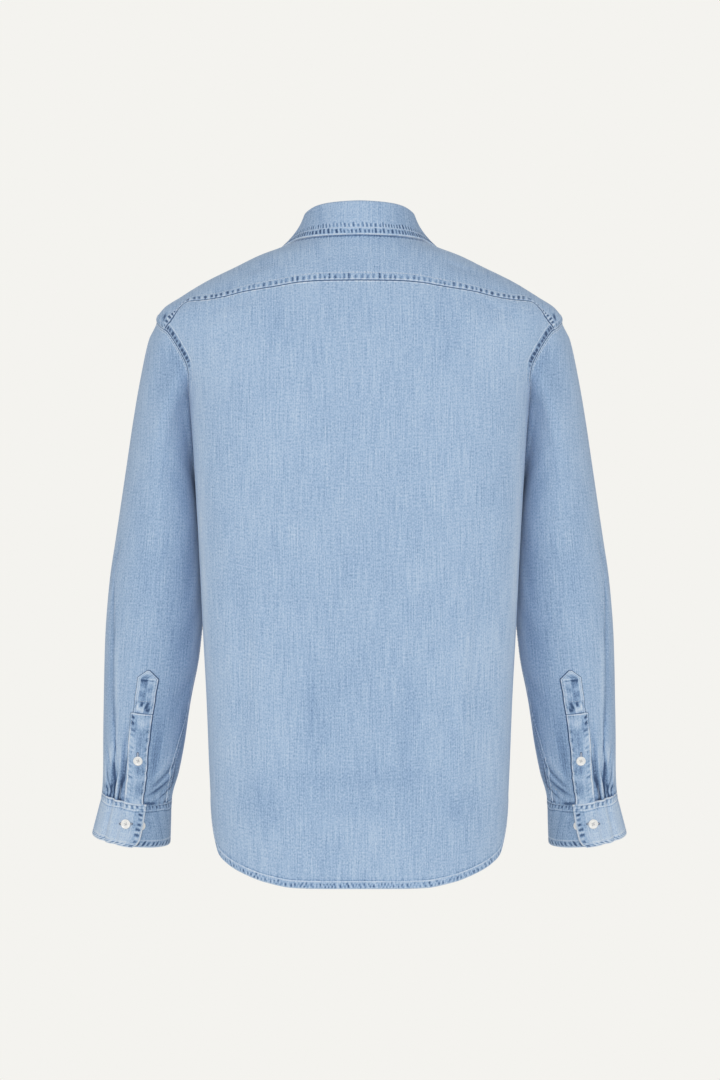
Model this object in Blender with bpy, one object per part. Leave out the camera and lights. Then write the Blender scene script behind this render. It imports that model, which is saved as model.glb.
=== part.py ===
# A long-sleeved denim shirt, buttoned up and filled out as if worn: hollow, open at the neck,
# the hem and both cuffs. Every size is in metres. +X is the wearer's right, +Y the front, +Z up.
# The origin is the middle of the neck opening, level with the seam at the back of the neck.

import math

import bpy
import numpy as np
from mathutils import Matrix, Vector

# Walls and gaps
CLOTH = 0.0015  # body and sleeves
FIRM_CLOTH = 0.0022  # collar stand and cuffs, two layers and an interlining
LEAF_CLOTH = 0.0020
BAND_CLOTH = 0.0012  # bands sewn on top of a panel
SEAM_GAP = 0.0003
LAID_GAP = 0.0004  # between a panel and what lies on it
LAP_GAP = 0.0006  # between two edges that lap

# The torso, a stack of level sections. A section is two half ovals that meet at its widest line:
# |x / half_width| ** power + |(y - widest_y) / depth| ** power = 1
TORSO_COLUMNS = ("height", "half_width", "widest_y", "back_y", "front_y", "back_power", "front_power")
TORSO = (
    (0.0120, 0.0450, -0.008, -0.0575, 0.0080, 2.00, 2.00),
    (0.0000, 0.0565, -0.008, -0.0620, 0.0200, 2.00, 2.00),
    (-0.0060, 0.0640, -0.008, -0.0648, 0.0270, 2.00, 2.00),
    (-0.0125, 0.0770, -0.009, -0.0680, 0.0335, 2.00, 2.00),
    (-0.0194, 0.0950, -0.009, -0.0715, 0.0385, 2.00, 2.00),
    (-0.0274, 0.1166, -0.010, -0.0755, 0.0430, 2.00, 2.00),
    (-0.0411, 0.1441, -0.011, -0.0820, 0.0510, 2.05, 2.05),
    (-0.0583, 0.1785, -0.012, -0.0895, 0.0590, 2.10, 2.10),
    (-0.0755, 0.2060, -0.012, -0.0960, 0.0670, 2.20, 2.15),
    (-0.0893, 0.2255, -0.013, -0.1005, 0.0735, 2.25, 2.20),
    (-0.1010, 0.2313, -0.013, -0.1040, 0.0785, 2.30, 2.20),
    (-0.1130, 0.2302, -0.014, -0.1075, 0.0840, 2.35, 2.25),
    (-0.1359, 0.2195, -0.018, -0.1120, 0.0930, 2.45, 2.30),
    (-0.1580, 0.2075, -0.024, -0.1155, 0.1010, 2.55, 2.35),
    (-0.1750, 0.1968, -0.031, -0.1172, 0.1055, 2.60, 2.40),
    (-0.1950, 0.1922, -0.037, -0.1190, 0.1095, 2.65, 2.45),
    (-0.2160, 0.1905, -0.040, -0.1200, 0.1130, 2.70, 2.50),
    (-0.2700, 0.1871, -0.040, -0.1200, 0.1180, 2.70, 2.50),
    (-0.3530, 0.1825, -0.036, -0.1175, 0.1190, 2.70, 2.50),
    (-0.4490, 0.1779, -0.033, -0.1145, 0.1175, 2.70, 2.50),
    (-0.5358, 0.1734, -0.031, -0.1130, 0.1155, 2.70, 2.50),
    (-0.6273, 0.1700, -0.029, -0.1130, 0.1130, 2.70, 2.50),
    (-0.7600, 0.1680, -0.028, -0.1140, 0.1120, 2.70, 2.50),
)

# The neckline's height at each turn from the back centre, in degrees
NECK_COLUMNS = ("turn", "height")
NECK = (
    (0, 0.0000),
    (60, -0.0015),
    (90, -0.0060),
    (105, -0.0105),
    (120, -0.0170),
    (135, -0.0280),
    (150, -0.0440),
    (165, -0.0580),
    (180, -0.0660),
)

# The shirt-tail hem's height at each turn: long at the back, short at the side seams
HEM_COLUMNS = ("turn", "height")
HEM = (
    (0, -0.7417),
    (30, -0.7417),
    (42, -0.7412),
    (55, -0.7350),
    (65, -0.7250),
    (73, -0.7110),
    (80, -0.6890),
    (90, -0.6560),
    (107, -0.6400),
    (122, -0.6620),
    (137, -0.7000),
    (150, -0.7190),
    (180, -0.7265),
)

# The back yoke seam's height at each distance from the centre
YOKE_SEAM_COLUMNS = ("x", "height")
YOKE_SEAM = (
    (0.0000, -0.0604),
    (0.0670, -0.0607),
    (0.1235, -0.0660),
    (0.1600, -0.0738),
    (0.1904, -0.0816),
    (0.2009, -0.0850),
    (0.2081, -0.0933),
    (0.2168, -0.1039),
    (0.2240, -0.1132),
)
YOKE_FRONT_TURN = 112  # where the front yoke seam meets the neckline

# The armhole from the side: down the back edge, round the underarm and up the front edge
ARMHOLE_COLUMNS = ("y", "height")
ARMHOLE = (
    (-0.0130, -0.1030),
    (-0.0446, -0.1123),
    (-0.0552, -0.1190),
    (-0.0628, -0.1359),
    (-0.0688, -0.1580),
    (-0.0590, -0.1770),
    (-0.0420, -0.1980),
    (-0.0300, -0.2300),
    (-0.0140, -0.2680),
    (0.0200, -0.3020),
    (0.0500, -0.2820),
    (0.0670, -0.2450),
    (0.0710, -0.2050),
    (0.0660, -0.1680),
    (0.0530, -0.1370),
    (0.0300, -0.1130),
)
UNDERARM_ROW = 9
YOKE_BACK_END = -0.1123  # heights where the yoke's two seams meet the armhole
YOKE_FRONT_END = -0.1180

# The sleeve and cuff: each station is an oval through an outer and an inner point, tilted forward
SLEEVE_COLUMNS = ("outer_x", "outer_z", "inner_x", "inner_z", "middle_y", "half_depth", "tilt")
SLEEVE = (
    (0.2313, -0.1030, 0.1765, -0.3020, 0.0010, 0.0700, 0),
    (0.2405, -0.1230, 0.1830, -0.2985, 0.0030, 0.0695, 0),
    (0.2510, -0.1681, 0.1848, -0.3035, 0.0060, 0.0690, 0),
    (0.2594, -0.2143, 0.1842, -0.3150, 0.0090, 0.0680, 1),
    (0.2666, -0.2605, 0.1830, -0.3350, 0.0120, 0.0665, 2),
    (0.2737, -0.3068, 0.1820, -0.3620, 0.0155, 0.0645, 3),
    (0.2809, -0.3530, 0.1814, -0.3950, 0.0195, 0.0625, 5),
    (0.2880, -0.3992, 0.1814, -0.4300, 0.0240, 0.0600, 7),
    (0.2940, -0.4686, 0.1865, -0.4840, 0.0335, 0.0560, 9),
    (0.2963, -0.5379, 0.1975, -0.5440, 0.0430, 0.0510, 10),
    (0.2975, -0.5841, 0.2045, -0.5900, 0.0500, 0.0475, 10),
    (0.2979, -0.6180, 0.2112, -0.6230, 0.0550, 0.0435, 10),
    (0.2996, -0.6460, 0.2197, -0.6553, 0.0600, 0.0385, 10),
    (0.3116, -0.6958, 0.2222, -0.7071, 0.0690, 0.0400, 10),
)
CUFF_TOP = 12  # stations where the cuff starts and ends
CUFF_END = 13
CUFF_LENGTH = 0.0515
LAST_STATION_LENGTH = 0.0350  # from station 11 to 12
SLEEVE_RINGS = (1.6, 2.3, 3.0, 3.8, 4.6, 5.4, 6.2, 7.0, 7.8, 8.3, 8.8, 9.3, 9.8, 10.3, 10.8, 11.2, 11.6)
SLEEVE_END = CUFF_TOP - SEAM_GAP / 2 / LAST_STATION_LENGTH
ARMHOLE_FADE = 2.2  # stations over which the sleeve loses the armhole's outline
ROLL_END = 1.0  # station where the roll over the armhole seam ends, and the next one it heads for
ROLL_TARGET = 1.5
CROWD_START = 4.0  # stations between which the columns gather round the folds
CROWD_END = 11.0
CROWD_DENSITY = 2.6
CROWD_WIDTH = 2.2  # of each fold's own width
SEAM_ROLL = 0.009  # how far the cloth runs on before it turns at the armhole seam

# The sleeve's largest folds, as soft troughs that run down into the cuff
FOLDS = (  # angle, starting station, station of full depth, depth, width in degrees
    (-47, 8.6, 11.2, 0.0032, 5.0),
    (-68, 10.2, 11.4, 0.0030, 5.0),
)

# The tower placket over the sleeve's slit: station, then its outer and inner edges in degrees
TOWER_ROWS = (8.25, 8.39, 8.56, 8.80, 9.02, 9.06, 9.50, 10.00, 10.50, 11.00, 11.50)
TOWER_COLUMNS = ("station", "outer", "inner")
TOWER = (
    (8.25, -90.1, -91.1),
    (8.39, -78.4, -103.1),
    (9.02, -76.1, -100.6),
    (9.06, -72.4, -100.3),
    (10.0, -71.5, -98.8),
    (11.0, -74.0, -100.8),
    (12.0, -75.0, -103.3),
)

# The cuff is a strip that laps over its own end. Its distance from the sleeve's oval, at each
# angle from the end that lies on top
LAP_COLUMNS = ("angle", "lift")
CUFF_LAP = (
    (0, 0.0034),
    (12, 0.0032),
    (24, 0.0026),
    (45, 0.0015),
    (80, 0.0000),
    (285, 0.0000),
    (330, -0.0014),
    (360, -0.0022),
    (405, -0.0014),
)
CUFF_EDGE_ANGLE = -108  # the top end's place round the sleeve
# How far the top end draws back, in degrees, from the seam (0) to the rounded corner (1)
CORNER_COLUMNS = ("down", "back")
CUFF_CORNER = ((0.0, 0.0), (0.25, 3.0), (0.6, 7.0), (0.8, 10.0), (1.0, 19.0))

# The collar
STAND_BACK = 0.0275
STAND_FRONT = 0.0250
NECK_MIDDLE_Y = -0.004  # the stand leans towards a line that stands here
STAND_LEAN = (0.12, 0.27, 0.16)  # inwards for each unit up: back, side, front
FOLD_START = 0.0006
FOLD_RADIUS = 0.0026
LEAF_CLEARANCE = 0.0028  # from the middle of the body's wall to the middle of the leaf's
LEAF_END_TURN = 174
LEAF_ROLL = (180, 135, 90, 45, 0)  # degrees over which the leaf turns over the stand
LEAF_BULGE = 0.0020  # outwards at the back and front, hollow over the shoulders
# The leaf's lower edge on the body: the turn and height it reaches for each share of its length
LEAF_COLUMNS = ("share", "turn", "height")
LEAF = (
    (0.00, 0.0, -0.0080),
    (0.25, 42.0, -0.0088),
    (0.50, 84.0, -0.0112),
    (0.57, 93.0, -0.0148),
    (0.65, 103.0, -0.0235),
    (0.80, 126.0, -0.0560),
    (0.92, 143.0, -0.0880),
    (1.00, 151.0, -0.1080),
)

# Front edges and buttons
FRONT_LAP = 0.016  # how far each front runs past the centre line
STAND_LAP_FROM = 0.5  # the under end of the stand starts to step in this far before the centre front
STAND_LAP_OVER = 0.2  # and takes this much turn to do it, both in radians
BUTTON_RADIUS = 0.0055
GAUNTLET_BUTTON_RADIUS = 0.0052
BUTTON_THICKNESS = 0.0020
BUTTON_RIM = 0.0013
BUTTON_SIDES = 14
BUTTON_DISH = 0.75  # the height of the middle, as a share of the rim's
BUTTON_BEVEL = 0.0004
BUTTON_EDGE = 0.4  # the height of the widest ring, as a share of the rim's
CURVED_SEAT = 0.0002  # a flat button stands this much further off a curved stand
FRONT_BUTTON_TOP = -0.125
FRONT_BUTTON_STEP = 0.090
FRONT_BUTTON_COUNT = 6
# name, angle round the sleeve, station, and the place along the cuff's strip in degrees
SLEEVE_BUTTONS = (
    ("button_gauntlet", -86.8, 10.32, 0.0),
    ("button_cuff", -80.8, 12.51, 27.2),
    ("button_cuff_spare", -106.8, 12.53, 361.2),
)

# How finely each piece is divided
BACK_FADE = 20  # how fast a panel's rows lose the shape of its top edge
FRONT_FADE = 5
SEAM_COLUMNS = 12  # half of the back yoke seam
SEAM_CROWDING = 1.4  # columns and rows draw together towards the armhole and the neck
YOKE_NECK_TURN = 86  # the part of the yoke's neckline, in degrees, that its back seam's columns take
YOKE_ROWS = 6
YOKE_ARM_COLUMNS = 6
BACK_ARM_ROWS = 9
FRONT_ARM_ROWS = 11
SIDE_ROWS = 11
NECK_COLUMNS_FRONT = 5
ROLL_STEPS = (0.15, 0.35, 0.60, 0.80, 1.00)
LEAF_COLUMNS_ROUND = 36
LEAF_ROWS = 5
STAND_ROWS = 3
CUFF_COLUMNS = 34
CUFF_ROWS = 4
TOWER_STRIPS = 3
ARMHOLE_FINENESS = 24  # parts of the fine armhole line between two of its points
SHARP_EDGE = 50  # degrees

DENIM = ("denim", (0.342, 0.487, 0.655, 1.0), 0.85)
DENIM_BODY = ("denim_body", (0.358, 0.494, 0.669, 1.0), 0.85)
BUTTON = ("button", (0.85, 0.86, 0.86, 1.0), 0.35)


# ---------------------------------------------------------------- curves and tables


def smooth(knots, values, at):
    """A curve of cubics through the knots that never overshoots them."""
    knots = np.asarray(knots, float)
    values = np.asarray(values, float)
    steps = np.diff(knots)
    slopes = np.diff(values) / steps
    tangents = np.zeros_like(values)
    before, after = slopes[:-1], slopes[1:]
    same = before * after > 0
    weight_a = 2 * steps[1:] + steps[:-1]
    weight_b = steps[1:] + 2 * steps[:-1]
    safe_before = np.where(same, before, 1.0)
    safe_after = np.where(same, after, 1.0)
    mean = (weight_a + weight_b) / (weight_a / safe_before + weight_b / safe_after)
    tangents[1:-1] = np.where(same, mean, 0.0)
    tangents[0], tangents[-1] = slopes[0], slopes[-1]
    at = np.asarray(at, float)
    place = np.clip(np.searchsorted(knots, at) - 1, 0, len(steps) - 1)
    step = steps[place]
    part = np.clip((at - knots[place]) / step, 0.0, 1.0)
    start = (1 + 2 * part) * (1 - part) ** 2 * values[place]
    start += part * (1 - part) ** 2 * step * tangents[place]
    end = part**2 * (3 - 2 * part) * values[place + 1]
    end += part**2 * (part - 1) * step * tangents[place + 1]
    return start + end


def column(table, columns, name):
    return np.asarray(table, float)[:, columns.index(name)]


def read(table, columns, name, at, key=None):
    """One column of a table at any value of the key column, or at any row number."""
    values = column(table, columns, name)
    keys = column(table, columns, key) if key else np.arange(len(values), dtype=float)
    if keys[0] > keys[-1]:
        keys, values = keys[::-1], values[::-1]
    return smooth(keys, values, at)


def torso_value(name, height):
    return read(TORSO, TORSO_COLUMNS, name, height, "height")


def unit(vectors):
    return vectors / np.maximum(np.linalg.norm(vectors, axis=-1, keepdims=True), 1e-12)


def stack(*parts):
    return np.stack(np.broadcast_arrays(*parts), axis=-1)


# ---------------------------------------------------------------- the torso's surface


def torso(turn, height):
    """The middle of the body's wall. Turn 0 is the back centre, a quarter turn is the +X side."""
    sine, cosine = np.sin(turn), np.cos(turn)
    at_back = cosine > 0
    widest = torso_value("widest_y", height)
    depth = np.where(
        at_back, widest - torso_value("back_y", height), torso_value("front_y", height) - widest
    )
    power = np.where(
        at_back, torso_value("back_power", height), torso_value("front_power", height)
    )
    across = (np.abs(sine) / torso_value("half_width", height)) ** power
    radius = (across + (np.abs(cosine) / depth) ** power) ** (-1 / power)
    return stack(radius * sine, widest - radius * cosine, height)


def torso_normal(turn, height):
    """The outward direction of the body's wall."""
    small = 2e-4
    along = torso(turn + small, height) - torso(turn - small, height)
    up = torso(turn, height + small) - torso(turn, height - small)
    return unit(np.cross(along, up))


def turn_at_y(y, height):
    """The turn of the point on the +X side at this y and height."""
    widest = torso_value("widest_y", height)
    behind = y < widest
    depth = np.where(
        behind, widest - torso_value("back_y", height), torso_value("front_y", height) - widest
    )
    power = np.where(behind, torso_value("back_power", height), torso_value("front_power", height))
    share = np.clip(1 - (np.abs(y - widest) / depth) ** power, 0, 1)
    x = torso_value("half_width", height) * share ** (1 / power)
    return np.pi / 2 + np.arctan2(y - widest, x)


def turn_at_x(x, height, behind):
    """The turn of the point at this x and height, on the back or on the front."""
    widest = torso_value("widest_y", height)
    face = "back" if behind else "front"
    depth = np.abs(torso_value(face + "_y", height) - widest)
    power = torso_value(face + "_power", height)
    share = np.clip(1 - (np.abs(x) / torso_value("half_width", height)) ** power, 0, 1)
    y = depth * share ** (1 / power)
    return np.arctan2(x, y) if behind else np.pi - np.arctan2(x, y)


def height_at_turn(table, columns, turn):
    """A table of heights by turn, the same on both sides of the body."""
    turn = np.abs(np.asarray(turn, float))
    turn = np.minimum(turn, 2 * np.pi - turn)
    return read(table, columns, "height", np.degrees(turn), "turn")


def armhole_curve():
    """The armhole as a fine closed line of (turn, height), starting at the shoulder's tip."""
    corners = np.array(ARMHOLE)
    part = np.linspace(0, 1, ARMHOLE_FINENESS, endpoint=False)[:, None]
    runs = []
    for row in range(len(corners)):
        before, start, end, after = (corners[(row + k) % len(corners)] for k in (-1, 0, 1, 2))
        leave, arrive = (end - before) / 2, (after - start) / 2
        run = (1 + 2 * part) * (1 - part) ** 2 * start + part * (1 - part) ** 2 * leave
        run = run + part**2 * (3 - 2 * part) * end + part**2 * (part - 1) * arrive
        runs.append(run)
    line = np.concatenate(runs + [corners[:1]])
    underarm = UNDERARM_ROW * len(part)
    return np.stack([turn_at_y(line[:, 0], line[:, 1]), line[:, 1]], axis=1), underarm


def resample(line, count):
    """The same line of (turn, height), divided evenly along its real length."""
    points = torso(line[:, 0], line[:, 1])
    length = np.concatenate([[0], np.cumsum(np.linalg.norm(np.diff(points, axis=0), axis=1))])
    at = np.linspace(0, length[-1], count + 1)
    return np.stack([np.interp(at, length, line[:, k]) for k in (0, 1)], axis=1)


def armhole_parts():
    """The armhole's edges as (turn, height): back panel's and front's from the top down, yoke's
    from the back seam over the shoulder to the front seam."""
    line, underarm = armhole_curve()
    back_end = np.argmax(line[:, 1] < YOKE_BACK_END)
    front_end = len(line) - 1 - np.argmax(line[::-1, 1] < YOKE_FRONT_END)
    back = resample(line[back_end : underarm + 1], BACK_ARM_ROWS)
    front = resample(line[underarm : front_end + 1][::-1], FRONT_ARM_ROWS)
    over = np.concatenate([line[front_end:-1], line[: back_end + 1]])[::-1]
    return back, front, resample(over, YOKE_ARM_COLUMNS)


BACK_ARM, FRONT_ARM, YOKE_ARM = armhole_parts()
SIDE_TURN = BACK_ARM[-1, 0]


# ---------------------------------------------------------------- walls made from grids


def inset(points, normals, edges, distance):
    """Moves the named edges of a grid inwards, square to the edge and along the surface."""
    moved = points.copy()
    for edge in edges:
        index = {"first": (0,), "last": (-1,), "top": (slice(None), 0), "bottom": (slice(None), -1)}
        line = points[index[edge]]
        tangent = unit(np.gradient(line, axis=0))
        inward = unit(np.cross(normals[index[edge]], tangent))
        neighbour = {
            "first": (1,),
            "last": (-2,),
            "top": (slice(None), 1),
            "bottom": (slice(None), -2),
        }
        towards = points[neighbour[edge]] - line
        inward *= np.sign((inward * towards).sum(-1, keepdims=True))
        moved[index[edge]] += inward * distance
    return moved


def wall(points, normals, thickness, closed=False):
    """A grid of points made into a wall: its outer and inner faces and the strips between them."""
    half = np.broadcast_to(np.asarray(thickness, float), points.shape[:2])[..., None] / 2
    outer, inner = points + normals * half, points - normals * half
    columns, rows = points.shape[:2]
    number = np.arange(columns * rows).reshape(columns, rows)
    if closed:
        number = np.concatenate([number, number[:1]])
    a, b, c, d = number[:-1, :-1], number[1:, :-1], number[1:, 1:], number[:-1, 1:]
    front = np.stack([a, b, c, d], axis=-1).reshape(-1, 4)
    shift = columns * rows
    faces = [front, front[:, ::-1] + shift]
    rims = [number[:, 0][::-1], number[:, -1]]
    if not closed:
        rims += [number[0], number[-1][::-1]]
    for rim in rims:
        faces.append(np.stack([rim[:-1], rim[1:], rim[1:] + shift, rim[:-1] + shift], axis=-1))
    vertices = np.concatenate([outer.reshape(-1, 3), inner.reshape(-1, 3)])
    return facing_out(vertices, np.concatenate(faces))


TURNED_ROUND = [0, 3, 2, 1]  # a four-sided face's corners the other way, on the same diagonal


def mirrored(vertices, faces):
    """The same piece on the -X side, still facing out."""
    return vertices * (-1, 1, 1), faces[:, TURNED_ROUND]


def facing_out(vertices, faces):
    """Turns every face round if the closed mesh is inside out."""
    corners = vertices[faces]
    volume = np.einsum("ij,ij->i", corners[:, 0], np.cross(corners[:, 1], corners[:, 2])).sum()
    volume += np.einsum("ij,ij->i", corners[:, 0], np.cross(corners[:, 2], corners[:, 3])).sum()
    return (vertices, faces) if volume > 0 else (vertices, faces[:, TURNED_ROUND])


def grid_normals(points, closed):
    """Outward directions of a grid whose first axis runs round the piece."""
    if closed:
        along = np.roll(points, -1, axis=0) - np.roll(points, 1, axis=0)
    else:
        along = np.gradient(points, axis=0)
    return unit(np.cross(along, np.gradient(points, axis=1)))


def coons(top, bottom, first, last, fade, share=None):
    """A grid of (turn, height) between four edge lines that share their corners. The top line's
    own shape fades out on the way down, by this power."""
    across = (top[:, 0] - top[0, 0]) / (top[-1, 0] - top[0, 0]) if share is None else share
    down = (last[:, 1] - last[0, 1]) / (last[-1, 1] - last[0, 1])
    u, v = across[:, None, None], down[None, :, None]
    sides = (1 - u) * first[None] + u * last[None]
    rise = top[:, None] - (1 - u) * top[0] - u * top[-1]
    drop = bottom[:, None] - (1 - u) * bottom[0] - u * bottom[-1]
    return sides + (1 - v) ** fade * rise + v * drop


# ---------------------------------------------------------------- body panels


def back_seam():
    """The back yoke seam from the centre to the +X armhole, as (turn, height)."""
    share = np.linspace(0, 1, SEAM_COLUMNS + 1)
    end = torso(*BACK_ARM[0])[0]
    x = end * (1 - (1 - share) ** SEAM_CROWDING)
    height = read(YOKE_SEAM, YOKE_SEAM_COLUMNS, "height", x, "x")
    line = np.stack([turn_at_x(x, height, True), height], axis=1)
    line[-1] = BACK_ARM[0]
    return line


def both_sides(line):
    """A line of (turn, height) on the +X side, joined to its mirror image."""
    return np.concatenate([line[:0:-1] * (-1, 1), line])


def side_seam():
    bottom = height_at_turn(HEM, HEM_COLUMNS, SIDE_TURN)
    heights = np.linspace(BACK_ARM[-1, 1], bottom, SIDE_ROWS + 1)
    return np.stack([np.full_like(heights, SIDE_TURN), heights], axis=1)


def back_panel():
    top = both_sides(back_seam())
    last = np.concatenate([BACK_ARM[:-1], side_seam()])
    turns = top[:, 0] / top[-1, 0] * SIDE_TURN
    bottom = np.stack([turns, height_at_turn(HEM, HEM_COLUMNS, turns)], axis=1)
    grid = coons(top, bottom, last * (-1, 1), last, BACK_FADE)
    points, normals = torso(grid[..., 0], grid[..., 1]), torso_normal(grid[..., 0], grid[..., 1])
    points = inset(points, normals, ("first", "last", "top"), SEAM_GAP / 2)
    return wall(points, normals, CLOTH)


def yoke_grid():
    """The yoke's (turn, height), from the -X front seam round the back to the +X one."""
    outer = both_sides(np.concatenate([back_seam(), YOKE_ARM[1:]]))
    seam_turn = np.radians(YOKE_FRONT_TURN)
    neck_turn = np.radians(YOKE_NECK_TURN)
    over_back = back_seam()[:, 0] / BACK_ARM[0, 0] * neck_turn
    over_shoulder = np.linspace(neck_turn, seam_turn, YOKE_ARM_COLUMNS + 1)[1:]
    half = np.concatenate([over_back, over_shoulder])
    turns = np.concatenate([-half[:0:-1], half])
    inner = np.stack([turns, height_at_turn(NECK, NECK_COLUMNS, turns)], axis=1)
    part = (np.linspace(0, 1, YOKE_ROWS + 1) ** SEAM_CROWDING)[None, :, None]
    return (1 - part) * inner[:, None] + part * outer[:, None]


def yoke():
    grid = yoke_grid()
    points, normals = torso(grid[..., 0], grid[..., 1]), torso_normal(grid[..., 0], grid[..., 1])
    points = inset(points, normals, ("first", "last", "top", "bottom"), SEAM_GAP / 2)
    return wall(points, normals, CLOTH)


def front_neck():
    """The front neckline's (turn, height), from the lap's inner edge to the front yoke seam."""
    start = turn_at_x(FRONT_LAP, NECK[-1][1], False)
    turns = np.linspace(start, np.radians(YOKE_FRONT_TURN), NECK_COLUMNS_FRONT + 1)
    return np.stack([turns, height_at_turn(NECK, NECK_COLUMNS, turns)], axis=1)


def front_grid():
    """The +X front's (turn, height). Its first three columns run straight down at the lap."""
    last = np.concatenate([FRONT_ARM[:-1], side_seam()])
    down = (last[:, 1] - last[0, 1]) / (last[-1, 1] - last[0, 1])
    lap_columns = []
    for x in (-FRONT_LAP, 0.0, FRONT_LAP):
        start = turn_at_x(x, NECK[-1][1], False)
        top = height_at_turn(NECK, NECK_COLUMNS, start)
        bottom = height_at_turn(HEM, HEM_COLUMNS, turn_at_x(x, HEM[-1][1], False))
        heights = top + (bottom - top) * down
        column = np.stack([turn_at_x(x, heights, False), heights], axis=1)
        column[0, 0] = start
        lap_columns.append(column)
    first = lap_columns[-1]
    neck = front_neck()
    top = np.concatenate([neck[:-1], yoke_grid()[-1]])
    share = np.linspace(0, 1, len(top))
    turns = first[-1, 0] + (SIDE_TURN - first[-1, 0]) * share
    bottom = np.stack([turns, height_at_turn(HEM, HEM_COLUMNS, turns)], axis=1)
    bottom[0] = first[-1]
    panel = coons(top, bottom, first, last, FRONT_FADE, share)
    return np.concatenate([np.stack(lap_columns[:2]), panel])


def front_surface():
    grid = front_grid()
    points, normals = torso(grid[..., 0], grid[..., 1]), torso_normal(grid[..., 0], grid[..., 1])
    return points, normals


def front_panel(side):
    """One front. The one on the +X side steps in, under the other."""
    points, normals = front_surface()
    points = inset(points, normals, ("last", "top"), SEAM_GAP / 2)
    if side > 0:
        points[:3] -= normals[:3] * (CLOTH + LAP_GAP)
        return wall(points, normals, CLOTH)
    return mirrored(*wall(points, normals, CLOTH))


def front_band():
    """The band down the -X front, laid on its first three columns."""
    points, normals = front_surface()
    points, normals = points[:3], normals[:3]
    points = inset(points, normals, ("top",), SEAM_GAP / 2)
    points = points + normals * (CLOTH / 2 + LAID_GAP + BAND_CLOTH / 2)
    return mirrored(*wall(points, normals, BAND_CLOTH))


# ---------------------------------------------------------------- sleeves and cuffs


def sleeve_value(name, station):
    return read(SLEEVE, SLEEVE_COLUMNS, name, station)


def fold_depth(angle, station):
    """How far the sleeve's folds draw its wall in."""
    depth = np.zeros(np.broadcast(angle, station).shape)
    for place, start, full, deep, width in FOLDS:
        ramp = np.clip((station - start) / (full - start), 0, 1)
        ramp = ramp * ramp * (3 - 2 * ramp)
        away = (np.degrees(angle) - place) / width
        depth += deep * ramp * np.exp(-(away**2))
    return depth


def tube(angle, station, lift=0.0):
    """The +X sleeve's oval at a station, from 0 at its outer side; the front is positive."""
    outer = stack(sleeve_value("outer_x", station), 0.0, sleeve_value("outer_z", station))
    inner = stack(sleeve_value("inner_x", station), 0.0, sleeve_value("inner_z", station))
    middle = (outer + inner) / 2
    middle[..., 1] = sleeve_value("middle_y", station)
    half_width = np.linalg.norm(outer - inner, axis=-1) / 2
    across = unit(outer - inner)
    tilt = np.radians(sleeve_value("tilt", station))
    forward = stack(0.0 * tilt, np.cos(tilt), np.sin(tilt))
    half_depth = sleeve_value("half_depth", station)
    reach = lift - fold_depth(angle, station)
    width = (half_width + reach) * np.cos(angle)
    depth = (half_depth + reach) * np.sin(angle)
    return middle + across * width[..., None] + forward * depth[..., None]


def tube_normal(angle, station):
    small = 1e-3
    along = tube(angle + small, station) - tube(angle - small, station)
    down = tube(angle, np.minimum(station + small, CUFF_END)) - tube(angle, station - small)
    return unit(np.cross(down, along))


def armhole_ring():
    """The armhole's points, wall directions and sleeve angles, once round from the back seam."""
    line = np.concatenate([BACK_ARM[:-1], FRONT_ARM[:0:-1], YOKE_ARM[:0:-1]])
    points, normals = torso(line[:, 0], line[:, 1]), torso_normal(line[:, 0], line[:, 1])
    lengths = np.linalg.norm(np.roll(points, -1, axis=0) - points, axis=1)
    place = np.concatenate([[0], np.cumsum(lengths)])
    tip = place[np.argmax(points[:, 2])]
    underarm = place[BACK_ARM_ROWS]
    total = place[-1]
    ahead = (place[:-1] - tip) % total
    down_back = (underarm - tip) % total
    angle = np.where(
        ahead <= down_back,
        -np.pi * ahead / down_back,
        np.pi * (total - ahead) / (total - down_back),
    )
    tangent = unit(np.roll(points, -1, axis=0) - np.roll(points, 1, axis=0))
    into = unit(np.cross(tangent, normals))
    middle = points.mean(axis=0)
    into *= np.sign((into * (middle - points)).sum(-1, keepdims=True))
    return points, normals, into, angle


def crowded(angle):
    """Moves a sleeve's columns closer together round its folds, for the stretch near the cuff."""
    fine = np.linspace(-np.pi, np.pi, 721)
    density = np.ones_like(fine)
    for place, *_, width in FOLDS:
        away = (np.degrees(fine) - place) / (CROWD_WIDTH * width)
        density += CROWD_DENSITY * np.exp(-(away**2))
    share = np.concatenate([[0], np.cumsum((density[1:] + density[:-1]) / 2)])
    return np.interp((angle + np.pi) / (2 * np.pi), share / share[-1], fine)


def sleeve_surface():
    """The +X sleeve: off the armhole in the body's own direction, then down through the ovals."""
    start, start_normals, into, angle = armhole_ring()
    outline = start - tube(angle, np.zeros_like(angle))
    near_cuff = crowded(angle)

    def ring(station):
        share = np.clip((station - CROWD_START) / (CROWD_END - CROWD_START), 0, 1)
        turned = angle + (near_cuff - angle) * share * share * (3 - 2 * share)
        fade = math.exp(-((station / ARMHOLE_FADE) ** 2))
        return tube(turned, np.full_like(angle, station)) + outline * fade

    rolled = ring(ROLL_END)
    arrive = unit(ring(ROLL_TARGET) - start)
    leave = start + into * SEAM_ROLL
    turn_in = rolled - arrive * SEAM_ROLL
    rings = [start + into * SEAM_GAP / 2]
    for part in ROLL_STEPS:
        rings.append(
            (1 - part) ** 3 * start
            + 3 * (1 - part) ** 2 * part * leave
            + 3 * (1 - part) * part**2 * turn_in
            + part**3 * rolled
        )
    rings += [ring(station) for station in (*SLEEVE_RINGS, SLEEVE_END)]
    points = np.stack(rings, axis=1)
    normals = -grid_normals(points, True)
    past_roll = len(ROLL_STEPS) + 1
    outwards = points[:, past_roll] - points[:, past_roll].mean(axis=0)
    normals *= np.sign((outwards * normals[:, past_roll]).sum())
    normals[:, 0] = start_normals
    return points, normals


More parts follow.
